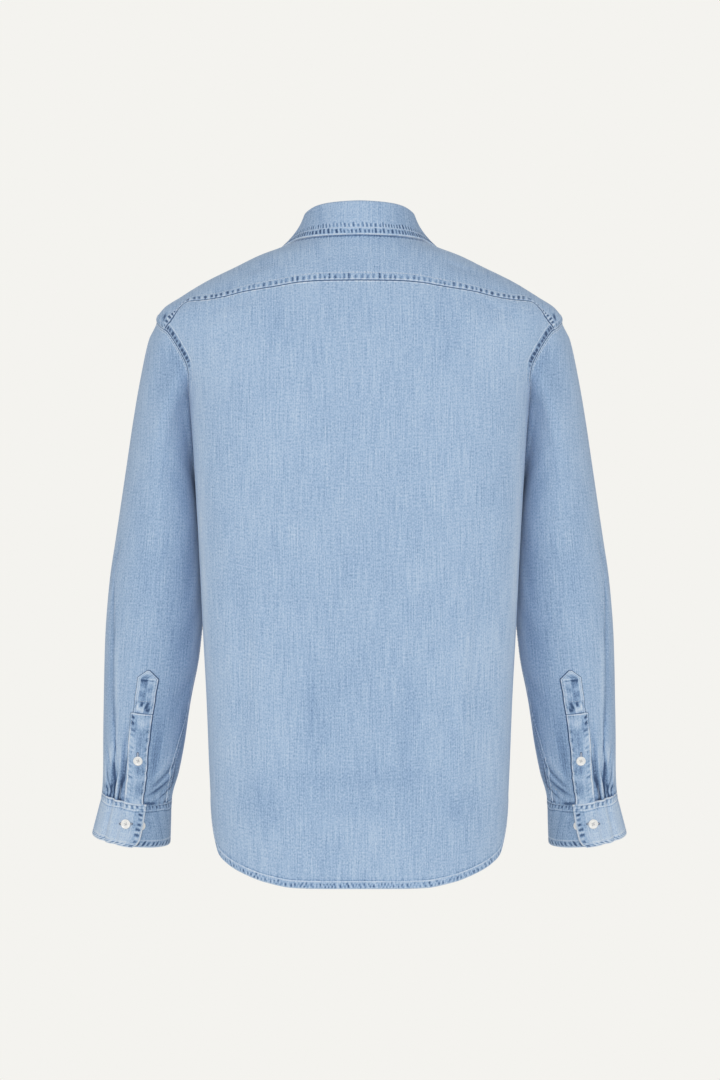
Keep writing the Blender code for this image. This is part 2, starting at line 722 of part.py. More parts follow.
def sleeve():
    points, normals = sleeve_surface()
    return wall(points, normals, CLOTH, closed=True)


def cuff():
    """A strip round the wrist, whose top end laps over the other, with its lower corner rounded."""
    down = np.linspace(0, 1, CUFF_ROWS + 1)
    columns = np.linspace(0, 1, CUFF_COLUMNS + 1)
    back = read(CUFF_CORNER, CORNER_COLUMNS, "back", down, "down")
    last = CUFF_LAP[-1][0]
    turned = back[None] + (last - back[None]) * columns[:, None]
    lift = read(CUFF_LAP, LAP_COLUMNS, "lift", turned, "angle")
    angle = np.radians(CUFF_EDGE_ANGLE + turned)
    gap = SEAM_GAP / 2 / CUFF_LENGTH
    station = CUFF_TOP + gap + (CUFF_END - CUFF_TOP - gap) * down[None]
    points = tube(angle, station + 0 * angle, lift)
    normals = grid_normals(points, False)
    middle = points.mean(axis=0)
    normals *= np.sign(((points - middle) * normals).sum())
    return wall(points, normals, FIRM_CLOTH)


def tower_placket():
    """The pointed band over the sleeve's slit, made from the sleeve's surface moved out."""
    rows = np.array((*TOWER_ROWS, SLEEVE_END))
    stations = column(TOWER, TOWER_COLUMNS, "station")
    outer = np.interp(rows, stations, column(TOWER, TOWER_COLUMNS, "outer"))
    inner = np.interp(rows, stations, column(TOWER, TOWER_COLUMNS, "inner"))
    across = np.linspace(0, 1, TOWER_STRIPS + 1)[:, None]
    angle = np.radians(outer[None] + (inner - outer)[None] * across)
    station = rows[None] + 0 * angle
    normals = tube_normal(angle, station)
    normals *= np.sign(((tube(angle, station) - tube(angle + np.pi, station)) * normals).sum())
    points = tube(angle, station) + normals * (CLOTH / 2 + LAID_GAP + BAND_CLOTH / 2)
    return wall(points, normals, BAND_CLOTH)


# ---------------------------------------------------------------- collar


def neck_turns():
    """The turns of every point that the body's panels have on the neckline."""
    lap = turn_at_x(np.array([-FRONT_LAP, 0.0]), NECK[-1][1], False)
    half = np.concatenate([lap, front_neck()[:-1, 0]])
    return np.concatenate([-half, yoke_grid()[:, 0, 0], half[::-1]])


def stand_surface():
    """The collar stand, from the +X end under the front lap round the back to the -X end on top."""
    turns = neck_turns()
    heights = height_at_turn(NECK, NECK_COLUMNS, turns)
    base, out = torso(turns, heights), torso_normal(turns, heights)
    tangent = unit(np.gradient(base, axis=0))
    into = unit(np.cross(out, tangent))
    into *= np.sign(into[:, 2:])
    level = unit(base * (1, 1, 0) - np.array([0, NECK_MIDDLE_Y, 0]))
    back_lean, side_lean, front_lean = STAND_LEAN
    lean = np.where(np.cos(turns) > 0, back_lean, front_lean)
    lean = lean + (side_lean - lean) * np.sin(turns) ** 2
    climb = unit(np.array([0, 0, 1.0]) - level * lean[:, None])
    front = (1 - np.cos(turns)) / 2
    tall = STAND_BACK + (STAND_FRONT - STAND_BACK) * front
    rows = [base + into * SEAM_GAP / 2]
    thick = [np.full(len(turns), CLOTH)]
    for part in np.linspace(0, 1, STAND_ROWS + 1)[1:]:
        rows.append(base + into * SEAM_GAP / 2 + climb * (tall * part)[:, None])
        thick.append(np.full(len(turns), FIRM_CLOTH))
    points, thick = np.stack(rows, axis=1), np.stack(thick, axis=1)
    normals = grid_normals(points, False)
    normals *= np.sign((normals[:, -1] * level).sum())
    normals[:, 0] = out
    return turns, points, normals, thick, level, climb


def stand_lap(turns):
    """1 on the end that lies under the other at the front, 0 elsewhere."""
    past = np.pi - turns
    return np.clip((STAND_LAP_FROM - past) / STAND_LAP_OVER, 0, 1)


def collar_stand():
    turns, points, normals, thick, *_ = stand_surface()
    step = stand_lap(turns)[:, None] * (thick + LAP_GAP)
    points = points - normals * step[..., None]
    return wall(points, normals, thick)


def clear_of_body(points, distance):
    """Pushes points outwards, level, until they lie this far from the middle of the body's wall."""
    x, y, z = points[..., 0], points[..., 1], points[..., 2]
    turn = np.arctan2(x, torso_value("widest_y", z) - y)
    surface = torso(turn, z)
    out = torso_normal(turn, z)
    level = unit(surface * (1, 1, 0) - stack(0.0, torso_value("widest_y", z), 0.0))
    needed = distance / np.maximum((out * level).sum(-1), 0.3)
    have = ((points - surface) * level).sum(-1)
    below_neck = z < height_at_turn(NECK, NECK_COLUMNS, turn)
    push = np.where(below_neck, np.maximum(needed - have, 0), 0)
    return points + level * push[..., None]


def collar_leaf():
    """The leaf: up off the stand's top edge, over in a small roll and down to its lower edge."""
    share = np.linspace(-1, 1, LEAF_COLUMNS_ROUND + 1)
    turns = np.radians(LEAF_END_TURN) * share
    stand_turns, stand, out, _, level, climb = stand_surface()
    lines = np.concatenate([stand[:, -1], out[:, -1], level, climb], axis=1)
    lines = np.stack([np.interp(turns, stand_turns, line) for line in lines.T], axis=1)
    top, out, level, climb = lines[:, :3], *(unit(lines[:, k : k + 3]) for k in (3, 6, 9))
    rows = [top + climb * SEAM_GAP]
    for degrees in LEAF_ROLL:
        bend = math.radians(degrees)
        rise = SEAM_GAP + FOLD_START + FOLD_RADIUS * math.sin(bend)
        rows.append(top + level * FOLD_RADIUS * (1 + math.cos(bend)) + climb * rise)
    edge_turn = np.radians(read(LEAF, LEAF_COLUMNS, "turn", np.abs(share), "share")) * np.sign(share)
    edge_height = read(LEAF, LEAF_COLUMNS, "height", np.abs(share), "share")
    edge = torso(edge_turn, edge_height) + torso_normal(edge_turn, edge_height) * LEAF_CLEARANCE
    turned_over = rows[-1]
    for part in np.linspace(0, 1, LEAF_ROWS + 1)[1:]:
        bulge = LEAF_BULGE * math.sin(math.pi * part) * np.cos(2 * turns)[:, None]
        rows.append(turned_over * (1 - part) + edge * part + level * bulge)
    points = np.stack(rows, axis=1)
    falling = len(LEAF_ROLL) + 1
    points[:, falling:] = clear_of_body(points[:, falling:], LEAF_CLEARANCE)
    normals = grid_normals(points, False)
    normals *= np.sign((normals[:, falling + 1] * level).sum())
    normals[:, 0] = out
    return wall(points, normals, LEAF_CLOTH)


# ---------------------------------------------------------------- buttons


def button_shape(radius):
    """A turned disc that stands on its own origin, with a raised rim, before it is placed."""
    profile = (
        (radius - BUTTON_BEVEL, 0.0),
        (radius, BUTTON_THICKNESS * BUTTON_EDGE),
        (radius - BUTTON_BEVEL / 2, BUTTON_THICKNESS),
        (radius - BUTTON_RIM, BUTTON_THICKNESS),
        (radius - BUTTON_RIM - BUTTON_BEVEL, BUTTON_THICKNESS * BUTTON_DISH),
    )
    turn = np.linspace(0, 2 * np.pi, BUTTON_SIDES, endpoint=False)
    rings = [np.stack([r * np.cos(turn), r * np.sin(turn), 0 * turn + z], axis=1) for r, z in profile]
    vertices = np.concatenate(rings + [[[0, 0, 0]], [[0, 0, profile[-1][1]]]])
    faces = []
    for ring in range(len(profile) - 1):
        for k in range(BUTTON_SIDES):
            a, b = ring * BUTTON_SIDES + k, ring * BUTTON_SIDES + (k + 1) % BUTTON_SIDES
            faces.append((a, b, b + BUTTON_SIDES, a + BUTTON_SIDES))
    low, high = len(vertices) - 2, len(vertices) - 1
    last = (len(profile) - 1) * BUTTON_SIDES
    for k in range(BUTTON_SIDES):
        after = (k + 1) % BUTTON_SIDES
        faces.append((low, after, k))
        faces.append((high, last + k, last + after))
    return vertices, faces


def facing(point, normal):
    """The placement of a button that lies on this point and faces this way."""
    out = Vector(normal).normalized()
    across = Vector((0, 0, 1)).cross(out).normalized()
    up = out.cross(across)
    turned = Matrix((across, up, out)).transposed().to_4x4()
    return Matrix.Translation(Vector(point)) @ turned


def front_button_places():
    seat = CLOTH / 2 + LAID_GAP + BAND_CLOTH + SEAM_GAP
    places = {}
    for number in range(FRONT_BUTTON_COUNT):
        height = np.array(FRONT_BUTTON_TOP - number * FRONT_BUTTON_STEP)
        point, normal = torso(np.array(np.pi), height), torso_normal(np.array(np.pi), height)
        places[f"button_front_{number + 1}"] = (point + normal * seat, normal)
    turns, points, normals, *_ = stand_surface()
    middle = np.argmin(np.abs(turns + np.pi))
    point = points[middle].mean(axis=0)
    normal = normals[middle, 2]
    places["button_collar"] = (point + normal * (FIRM_CLOTH / 2 + SEAM_GAP + CURVED_SEAT), normal)
    return places


def sleeve_button_places():
    """The +X sleeve's three buttons: on the tower placket, on the cuff's lap and under its edge."""
    places = {}
    for name, degrees, station, lap in SLEEVE_BUTTONS:
        angle, station = np.array(np.radians(degrees)), np.array(float(station))
        lift = read(CUFF_LAP, LAP_COLUMNS, "lift", lap, "angle") if station > CUFF_TOP else 0.0
        seat = FIRM_CLOTH / 2 if station > CUFF_TOP else CLOTH / 2 + LAID_GAP + BAND_CLOTH
        point = tube(angle, station, lift)
        normal = tube_normal(angle, station)
        normal = normal * np.sign(((point - tube(angle + np.pi, station)) * normal).sum())
        places[name] = (point + normal * (seat + SEAM_GAP), normal)
    return places


# ---------------------------------------------------------------- the scene


def clear_scene():
    for item in list(bpy.data.objects):
        bpy.data.objects.remove(item, do_unlink=True)


def material(name, colour, roughness):
    made = bpy.data.materials.get(name) or bpy.data.materials.new(name)
    made.use_nodes = True
    shader = made.node_tree.nodes["Principled BSDF"]
    shader.inputs["Base Color"].default_value = colour
    shader.inputs["Roughness"].default_value = roughness
    shader.inputs["Metallic"].default_value = 0.0
    made.diffuse_color = colour
    return made


def mesh_of(name, vertices, faces, finish):
    mesh = bpy.data.meshes.new(name)
    mesh.from_pydata(np.asarray(vertices).tolist(), [], [list(map(int, face)) for face in faces])
    mesh.materials.append(material(*finish))
    mesh.shade_smooth()
    mesh.set_sharp_from_angle(angle=math.radians(SHARP_EDGE))
    return mesh


def add_piece(name, shape, finish, holder):
    piece = bpy.data.objects.new(name, mesh_of(name, *shape, finish))
    bpy.context.scene.collection.objects.link(piece)
    piece.parent = holder
    return piece


def add_buttons(places, radius, holder):
    mesh = mesh_of("button", *button_shape(radius), BUTTON)
    for name, (point, normal) in places.items():
        button = bpy.data.objects.new(name, mesh)
        bpy.context.scene.collection.objects.link(button)
        button.parent = holder
        button.matrix_world = facing(point, normal)


def build():
    clear_scene()
    holder = bpy.data.objects.new("shirt", None)
    bpy.context.scene.collection.objects.link(holder)
    add_piece("back", back_panel(), DENIM_BODY, holder)
    add_piece("yoke", yoke(), DENIM, holder)
    add_piece("front_left", front_panel(-1), DENIM_BODY, holder)
    add_piece("front_right", front_panel(1), DENIM_BODY, holder)
    add_piece("front_placket", front_band(), DENIM, holder)
    add_piece("collar_stand", collar_stand(), DENIM, holder)
    add_piece("collar_leaf", collar_leaf(), DENIM, holder)
    for side, turn in (("right", 1), ("left", -1)):
        for name, make in (("sleeve", sleeve), ("cuff", cuff), ("sleeve_placket", tower_placket)):
            shape = make() if turn > 0 else mirrored(*make())
            finish = DENIM_BODY if name == "sleeve" else DENIM
            add_piece(f"{name}_{side}", shape, finish, holder)
        flip = np.array([turn, 1, 1])
        places = sleeve_button_places().items()
        spots = {name: (point * flip, normal * flip) for name, (point, normal) in places}
        gauntlet = {f"button_gauntlet_{side}": spots.pop("button_gauntlet")}
        cuffs = {f"{name}_{side}": place for name, place in spots.items()}
        add_buttons(gauntlet, GAUNTLET_BUTTON_RADIUS, holder)
        add_buttons(cuffs, BUTTON_RADIUS, holder)
    add_buttons(front_button_places(), BUTTON_RADIUS, holder)


build()
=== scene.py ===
import math

import bpy
import numpy as np
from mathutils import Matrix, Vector


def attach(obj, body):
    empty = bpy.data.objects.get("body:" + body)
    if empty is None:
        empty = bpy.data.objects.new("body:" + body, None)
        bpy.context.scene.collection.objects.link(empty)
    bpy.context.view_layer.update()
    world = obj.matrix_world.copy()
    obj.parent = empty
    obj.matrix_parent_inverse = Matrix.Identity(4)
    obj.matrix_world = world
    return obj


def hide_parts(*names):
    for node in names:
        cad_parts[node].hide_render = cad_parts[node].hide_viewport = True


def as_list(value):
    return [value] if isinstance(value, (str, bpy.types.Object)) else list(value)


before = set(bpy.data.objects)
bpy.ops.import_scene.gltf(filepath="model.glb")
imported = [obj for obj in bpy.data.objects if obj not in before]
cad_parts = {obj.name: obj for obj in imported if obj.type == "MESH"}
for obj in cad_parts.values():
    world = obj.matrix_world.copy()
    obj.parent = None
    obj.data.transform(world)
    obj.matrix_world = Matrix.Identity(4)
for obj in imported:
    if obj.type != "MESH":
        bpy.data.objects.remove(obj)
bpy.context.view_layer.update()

print("frame loaded:", len(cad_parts), "nodes")

mm = 0.001  # everything is in metres, apart from the tables and calls that say mm

# The shirt's own form: +X is the wearer's right, +Y the front, +Z up
body = {
    "sectionColumns": ("height", "halfWidth", "widestY", "backY", "frontY", "backPower", "frontPower"),
    "sections": (
        (0.012, 0.045, -0.008, -0.0575, 0.008, 2.0, 2.0),
        (0.0, 0.0565, -0.008, -0.062, 0.02, 2.0, 2.0),
        (-0.006, 0.064, -0.008, -0.0648, 0.027, 2.0, 2.0),
        (-0.0125, 0.0758, -0.009, -0.068, 0.0335, 2.0, 2.0),
        (-0.0194, 0.0926, -0.009, -0.0715, 0.0385, 2.0, 2.0),
        (-0.0274, 0.114, -0.01, -0.0755, 0.043, 2.0, 2.0),
        (-0.0411, 0.1418, -0.011, -0.082, 0.051, 2.05, 2.05),
        (-0.0583, 0.1764, -0.012, -0.0895, 0.059, 2.1, 2.1),
        (-0.0755, 0.2043, -0.012, -0.096, 0.067, 2.2, 2.15),
        (-0.0893, 0.2244, -0.013, -0.1005, 0.0735, 2.25, 2.2),
        (-0.101, 0.2313, -0.013, -0.104, 0.0785, 2.3, 2.2),
        (-0.113, 0.2302, -0.014, -0.1075, 0.084, 2.35, 2.25),
        (-0.1359, 0.2195, -0.018, -0.112, 0.093, 2.45, 2.3),
        (-0.158, 0.2075, -0.024, -0.1155, 0.101, 2.55, 2.35),
        (-0.175, 0.1968, -0.031, -0.1172, 0.1055, 2.6, 2.4),
        (-0.195, 0.1922, -0.037, -0.119, 0.1095, 2.65, 2.45),
        (-0.216, 0.1905, -0.04, -0.12, 0.113, 2.7, 2.5),
        (-0.27, 0.1871, -0.04, -0.12, 0.118, 2.7, 2.5),
        (-0.353, 0.1825, -0.036, -0.1175, 0.119, 2.7, 2.5),
        (-0.449, 0.1779, -0.033, -0.1145, 0.1175, 2.7, 2.5),
        (-0.5358, 0.1734, -0.031, -0.113, 0.1155, 2.7, 2.5),
        (-0.6273, 0.1698, -0.029, -0.113, 0.113, 2.7, 2.5),
        (-0.7, 0.1655, -0.029, -0.1132, 0.1125, 2.7, 2.5),
        (-0.76, 0.16, -0.028, -0.114, 0.112, 2.7, 2.5),
    ),
    # turn from the back centre in degrees, height
    "neck": (
        (0, 0.0), (60, -0.0015), (90, -0.006), (105, -0.0105), (120, -0.017), (135, -0.028), (150, -0.044),
        (165, -0.058), (180, -0.066),
    ),
    "hem": (
        (0, -0.743), (30, -0.743), (42, -0.7424), (55, -0.7365), (65, -0.7268), (72, -0.7175),
        (77, -0.7085), (81, -0.69), (90, -0.654), (107, -0.64), (122, -0.662), (137, -0.7), (150, -0.719),
        (180, -0.7265),
    ),
    # distance from the centre, height of the yoke's seam
    "yokeSeam": (
        (0.0, -0.0599), (0.042, -0.0604), (0.067, -0.0621), (0.095, -0.0667), (0.13, -0.0722),
        (0.151, -0.0774), (0.168, -0.0803), (0.1795, -0.0813), (0.19, -0.0817), (0.1965, -0.0832),
        (0.202, -0.0873), (0.206, -0.0918), (0.211, -0.0993), (0.2178, -0.1082), (0.224, -0.116),
    ),
    # y, height: down the armhole's back edge, round the underarm and up its front edge
    "armhole": (
        (-0.013, -0.103), (-0.0446, -0.1123), (-0.0552, -0.119), (-0.0628, -0.1359), (-0.0688, -0.158),
        (-0.059, -0.177), (-0.042, -0.198), (-0.03, -0.23), (-0.014, -0.268), (0.02, -0.302),
        (0.05, -0.282), (0.067, -0.245), (0.071, -0.205), (0.066, -0.168), (0.053, -0.137), (0.03, -0.113),
    ),
    # share of the collar leaf's length, turn, height of its lower edge
    "collarEdge": (
        (0.0, 0.0, -0.008), (0.25, 42.0, -0.009), (0.5, 84.0, -0.0122), (0.57, 93.0, -0.0158),
        (0.65, 103.0, -0.024), (0.8, 126.0, -0.056), (0.92, 143.0, -0.088), (1.0, 151.0, -0.108),
    ),
    "underarmRow": 9,  # of the armhole's points
    "yokeBackEnd": -0.1135, "yokeFrontEnd": -0.118,  # heights on the armhole's two edges
    "yokeNeckTurn": 86, "yokeFrontTurn": 112,  # above the shoulder, and at the front seam
    "cloth": 0.0015,  # the wall that the pieces keep to
    "thickness": 0.001,  # of the cloth itself
}
sections = np.array(body["sections"])[::-1]


# Curves and surfaces


def smoothCurve(knots, values, at):  # cubics through the knots, with slopes that never overshoot them
    knots, values, at = (np.asarray(x, float) for x in (knots, values, at))
    steps = np.diff(knots)
    slopes = np.diff(values) / steps
    tangents = np.zeros_like(values)
    before, after = slopes[:-1], slopes[1:]
    same = before * after > 0
    weightA, weightB = 2 * steps[1:] + steps[:-1], steps[1:] + 2 * steps[:-1]
    mean = (weightA + weightB) / (weightA / np.where(same, before, 1) + weightB / np.where(same, after, 1))
    tangents[1:-1] = np.where(same, mean, 0)
    tangents[0], tangents[-1] = slopes[0], slopes[-1]
    place = np.clip(np.searchsorted(knots, at) - 1, 0, len(steps) - 1)
    step = steps[place]
    part = np.clip((at - knots[place]) / step, 0, 1)
    start = (1 + 2 * part) * (1 - part) ** 2 * values[place] + part * (1 - part) ** 2 * step * tangents[place]
    end = part**2 * (3 - 2 * part) * values[place + 1] + part**2 * (part - 1) * step * tangents[place + 1]
    return start + end


def unit(vectors):
    return vectors / np.maximum(np.linalg.norm(vectors, axis=-1, keepdims=True), 1e-12)


def stack(*parts):
    return np.stack(np.broadcast_arrays(*parts), axis=-1)


def ease(value):  # 0 to 1 with soft ends: x * x * (3 - 2 * x)
    value = np.clip(value, 0, 1)
    return value * value * (3 - 2 * value)


def bump(distance, width):  # exp(-(distance / width) ** 2)
    return np.exp(-((distance / width) ** 2))


def graded(length, count, zones=()):
    # positions from 0 to length, drawn closer in each zone (start, end, extra)
    fine = np.linspace(0, length, 4001)
    density = np.ones_like(fine)
    for start, end, extra in zones:
        soft = 0.12 * (end - start)
        density += extra * ease((fine - start) / soft + 0.5) * ease((end - fine) / soft + 0.5)
    share = np.concatenate([[0], np.cumsum((density[1:] + density[:-1]) / 2)])
    return np.interp(np.linspace(0, share[-1], count), share, fine)


def runLength(points, axis=0):  # distance travelled along the lines of a grid
    steps = np.linalg.norm(np.diff(points, axis=axis), axis=-1)
    run = np.cumsum(steps, axis=axis)
    return np.concatenate([np.zeros_like(np.take(run, [0], axis=axis)), run], axis=axis)


def ringed(rows):  # with the first one again at the end
    return np.concatenate([rows, rows[:1]])


def sectionValue(name, height):  # one column of the sections, at any height
    return smoothCurve(sections[:, 0], sections[:, body["sectionColumns"].index(name)], height)


def halfOval(height, behind):  # the widest line's y, and the depth and power of the back or the front half
    widest = sectionValue("widestY", height)
    depth = np.abs(np.where(behind, sectionValue("backY", height), sectionValue("frontY", height)) - widest)
    return widest, depth, np.where(
        behind, sectionValue("backPower", height), sectionValue("frontPower", height)
    )


def torso(turn, height):  # |x / half width| ** power + |(y - widest y) / depth| ** power = 1, at each height
    sine, cosine = np.sin(turn), np.cos(turn)
    widest, depth, power = halfOval(height, cosine > 0)
    radius = (np.abs(sine) / sectionValue("halfWidth", height)) ** power + (np.abs(cosine) / depth) ** power
    radius = radius ** (-1 / power)
    return stack(radius * sine, widest - radius * cosine, height)


def torsoNormal(turn, height):  # across the change along and the change up
    along = torso(turn + 2e-4, height) - torso(turn - 2e-4, height)
    up = torso(turn, height + 2e-4) - torso(turn, height - 2e-4)
    return unit(np.cross(along, up))


def onTorso(line):  # the points and the outward directions of a line or a grid of (turn, height)
    return torso(line[..., 0], line[..., 1]), torsoNormal(line[..., 0], line[..., 1])


def lineLength(line):  # of a (turn, height) line, along the body
    return runLength(torso(line[:, 0], line[:, 1]))[-1]


def turnAtY(y, height):  # where the side of the body has this y
    widest, depth, power = halfOval(height, y < sectionValue("widestY", height))
    share = np.clip(1 - (np.abs(y - widest) / depth) ** power, 0, 1)
    return np.pi / 2 + np.arctan2(y - widest, sectionValue("halfWidth", height) * share ** (1 / power))


def turnAtX(x, height, behind):  # where the back or the front has this x
    _, depth, power = halfOval(height, behind)
    share = np.clip(1 - (np.abs(x) / sectionValue("halfWidth", height)) ** power, 0, 1)
    turn = np.arctan2(x, depth * share ** (1 / power))
    return turn if behind else np.pi - turn


def heightAtTurn(name, turn):
    table = np.array(body[name])
    turn = np.abs(np.asarray(turn, float))
    return smoothCurve(table[:, 0], table[:, 1], np.degrees(np.minimum(turn, 2 * np.pi - turn)))


def armholeLine():  # cubics through the armhole's points, closed, as (turn, height)
    corners = np.array(body["armhole"])
    part = np.linspace(0, 1, 24, endpoint=False)[:, None]
    runs = []
    for row in range(len(corners)):
        before, start, end, after = (corners[(row + k) % len(corners)] for k in (-1, 0, 1, 2))
        run = (1 + 2 * part) * (1 - part) ** 2 * start + part * (1 - part) ** 2 * (end - before) / 2
        runs.append(run + part**2 * (3 - 2 * part) * end + part**2 * (part - 1) * (after - start) / 2)
    line = np.concatenate(runs + [corners[:1]])
    return np.stack([turnAtY(line[:, 0], line[:, 1]), line[:, 1]], axis=1), body["underarmRow"] * len(part)


def resample(line, at):  # the points of a (turn, height) line at these lengths, from 0 to 1 of the whole
    length = runLength(torso(line[:, 0], line[:, 1]))
    return np.stack([np.interp(np.asarray(at) * length[-1], length, line[:, k]) for k in (0, 1)], axis=1)


wholeArmhole, underarm = armholeLine()
backEnd = np.argmax(wholeArmhole[:, 1] < body["yokeBackEnd"])
frontEnd = len(wholeArmhole) - 1 - np.argmax(wholeArmhole[::-1, 1] < body["yokeFrontEnd"])
backArm = wholeArmhole[backEnd : underarm + 1]
frontArm = wholeArmhole[underarm : frontEnd + 1][::-1]
yokeArm = np.concatenate([wholeArmhole[frontEnd:-1], wholeArmhole[: backEnd + 1]])[::-1]
sideTurn = backArm[-1, 0]


def panelSide(arm):  # the armhole's edge, then the side seam straight down to the hem
    heights = np.linspace(arm[-1, 1], heightAtTurn("hem", sideTurn), 200)[1:]
    return np.concatenate([arm, np.stack([np.full_like(heights, sideTurn), heights], axis=1)])


def bothSides(line):
    return np.concatenate([line[:0:-1] * (-1, 1), line])


def coons(top, bottom, first, last, fade, share):  # sides blended across, plus the top's shape, which fades
    down = (last[:, 1] - last[0, 1]) / (last[-1, 1] - last[0, 1])
    u, v = share[:, None, None], down[None, :, None]
    sides = (1 - u) * first[None] + u * last[None]
    rise = top[:, None] - (1 - u) * top[0] - u * top[-1]
    drop = bottom[:, None] - (1 - u) * bottom[0] - u * bottom[-1]
    return sides + (1 - v) ** fade * rise + v * drop


def stretchEdges(points, normals, edges, distance):  # moves the named edges outwards along the surface
    moved = points.copy()
    index = {"first": (0,), "last": (-1,), "top": (slice(None), 0), "bottom": (slice(None), -1)}
    beside = {"first": (1,), "last": (-2,), "top": (slice(None), 1), "bottom": (slice(None), -2)}
    for edge in edges:
        line = points[index[edge]]
        away = unit(np.cross(normals[index[edge]], unit(np.gradient(line, axis=0))))
        away *= np.sign((away * (line - points[beside[edge]])).sum(-1, keepdims=True))
        moved[index[edge]] += away * distance
    return moved


def gridNormals(points, closed):  # across the change round and the change down
    if closed:
        along = np.roll(points, -1, axis=0) - np.roll(points, 1, axis=0)
    else:
        along = np.gradient(points, axis=0)
    return unit(np.cross(along, np.gradient(points, axis=1)))


def measures(points):  # the way along a grid's rows and its columns, from the first one and to the last one
    down, across = runLength(points, 1), runLength(points, 0)
    return down, down[:, -1:] - down, across, across[-1:] - across


# Relief, and tone with painted shade and highlights


def bothWays(*rows):  # rows of creases or patches, and then their mirror images
    signs = {7: (-1, 1, -1, 1, -1, 1, 1), 5: (-1, 1, 1, 1, 1)}
    return rows + tuple(tuple(a * b for a, b in zip(row, signs[len(row)])) for row in rows)


def creases(u, v, rows):
    # each is a soft trough or ridge between two points: depth * exp(-(distance / width) ** 2),
    # bowed to one side, steeper on one side, and fading towards both ends
    total = np.zeros(np.broadcast(u, v).shape)
    for fromU, fromV, toU, toV, bow, width, depth in rows:
        fromU, fromV, toU, toV, bow, width, depth = (
            mm * x for x in (fromU, fromV, toU, toV, bow, width, depth)
        )
        du, dv = toU - fromU, toV - fromV
        length = math.hypot(du, dv)
        part = ((u - fromU) * du + (v - fromV) * dv) / length**2
        inside = np.clip(part, 0, 1)
        away = ((u - fromU) * dv - (v - fromV) * du) / length - bow * 4 * inside * (1 - inside)
        wide = width * (
            1 + 0.3 * np.sin(5.3 * part + 40 * fromU / width * 0.01)
        ) * (1 + 0.35 * np.tanh(away / width))
        fade = np.sin(np.pi * np.clip(inside, 0.02, 0.98)) ** 0.7 * bump((part - inside) * length, width)
        total += depth * fade * bump(away, wide)
    return total


def patches(u, v, rows):  # soft ovals of tone: amount * exp(-(du / ru) ** 2 - (dv / rv) ** 2), in mm
    total = np.zeros(np.broadcast(u, v).shape)
    for atU, atV, sizeU, sizeV, amount in rows:
        total += amount * np.exp(
            -(((u - atU * mm) / (sizeU * mm)) ** 2) - ((v - atV * mm) / (sizeV * mm)) ** 2
        )
    return total


def streaks(distance, rows):  # tones along a seam, each amount * bump at its place and of its width, in mm
    return sum(amount * bump(distance - place * mm, width * mm) for amount, place, width in rows)


def between(value, low, high, soft):  # 1 from low to high, eased down to 0 inside both
    return ease((value - low) / soft) * ease((high - value) / soft)


def ripple(along, seed, period):  # a line of random values, eased from one to the next, from -1 to 1
    draw = np.random.default_rng(seed)
    at = (along - along.min()) / period
    values = draw.uniform(-1, 1, int(at.max()) + 3)
    low = at.astype(int)
    part = ease(at - low)
    return values[low] * (1 - part) + values[low + 1] * part


def puckers(along, across, seed, period, start, end, slant, sharp, raised):
    # short valleys square to a seam, unevenly spaced, deep and long, with a low ridge between two:
    # raised * ridge - valley, held between start and end, all in mm
    draw = np.random.default_rng(seed)
    period, start, end = period * mm, start * mm, end * mm
    lowest = float((along + min(slant, 0) * end).min()) - 3 * period
    highest = float((along + max(slant, 0) * end).max()) + 3 * period
    count = int((highest - lowest) / period) + 8
    places = lowest + np.cumsum(period * draw.uniform(0.7, 1.3, count))
    depths = draw.uniform(0.45, 1.0, count)
    reach = draw.uniform(0.75, 1.1, count)
    moved = along + slant * across
    at = np.clip(np.searchsorted(places, moved), 1, count - 1)
    part = np.clip((moved - places[at - 1]) / (places[at] - places[at - 1]), 0, 1)
    near = np.where(part < 0.5, at - 1, at)
    valley = bump(np.minimum(part, 1 - part), sharp) * depths[near]
    ridge = bump(part - 0.5, 0.24) * (depths[at - 1] + depths[at]) / 2
    size = end - start
    inside = ease((across - start) / (0.18 * size)) * ease(
        (start + size * reach[near] - across) / (0.22 * size)
    )
    return (raised * ridge - valley) * inside


def puckered(rows, places, shift=0):
    # the height and the tone of rows of puckers, each with the way along and from its seam and where it
    # shows; the tone darkens the valleys and lightens the ridges, partly as wash wear and partly as painted
    # shade:
    # seed, period, from, to, slant, sharpness, share of ridge, height, tone, in mm
    lift = wearAndShade = 0.0
    for name, (seed, *shape, rise, tone) in rows.items():
        along, across, shown, *fade = places[name]
        row = puckers(along, across, seed + shift, *shape) * shown
        lift, wearAndShade = lift + rise * mm * row, wearAndShade + tone * row * (fade[0] if fade else 1)
    return lift, wearAndShade


def band(across, width, rise, stitchRows):
    # a doubled edge, in mm: raised as far as its width, rounded at its fold, drawn down along each row
    # of stitches
    lift = rise * mm * ease((width * mm + 0.6 * mm - across) / (1.2 * mm))
    lift -= (rise + 0.45) * mm * bump(across, 0.55 * mm)
    return lift + mm * streaks(across, [(-0.22, row, 0.7) for row in stitchRows])


def edgeTone(across, along, seed, amount, width=0.8):  # a fold's edge worn pale, unevenly
    return amount * (0.75 + 0.25 * ripple(along, seed, 0.006)) * bump(across - 0.3 * mm, width * mm)


# Meshes


def gridQuads(number):  # four neighbours make a face
    return np.stack(
        [number[:-1, :-1], number[1:, :-1], number[1:, 1:], number[:-1, 1:]], axis=-1
    ).reshape(-1, 4)


def mirrored(corners, faces):  # x to -x, and the faces turned round
    return corners * (-1, 1, 1), [face[:, ::-1] for face in faces]


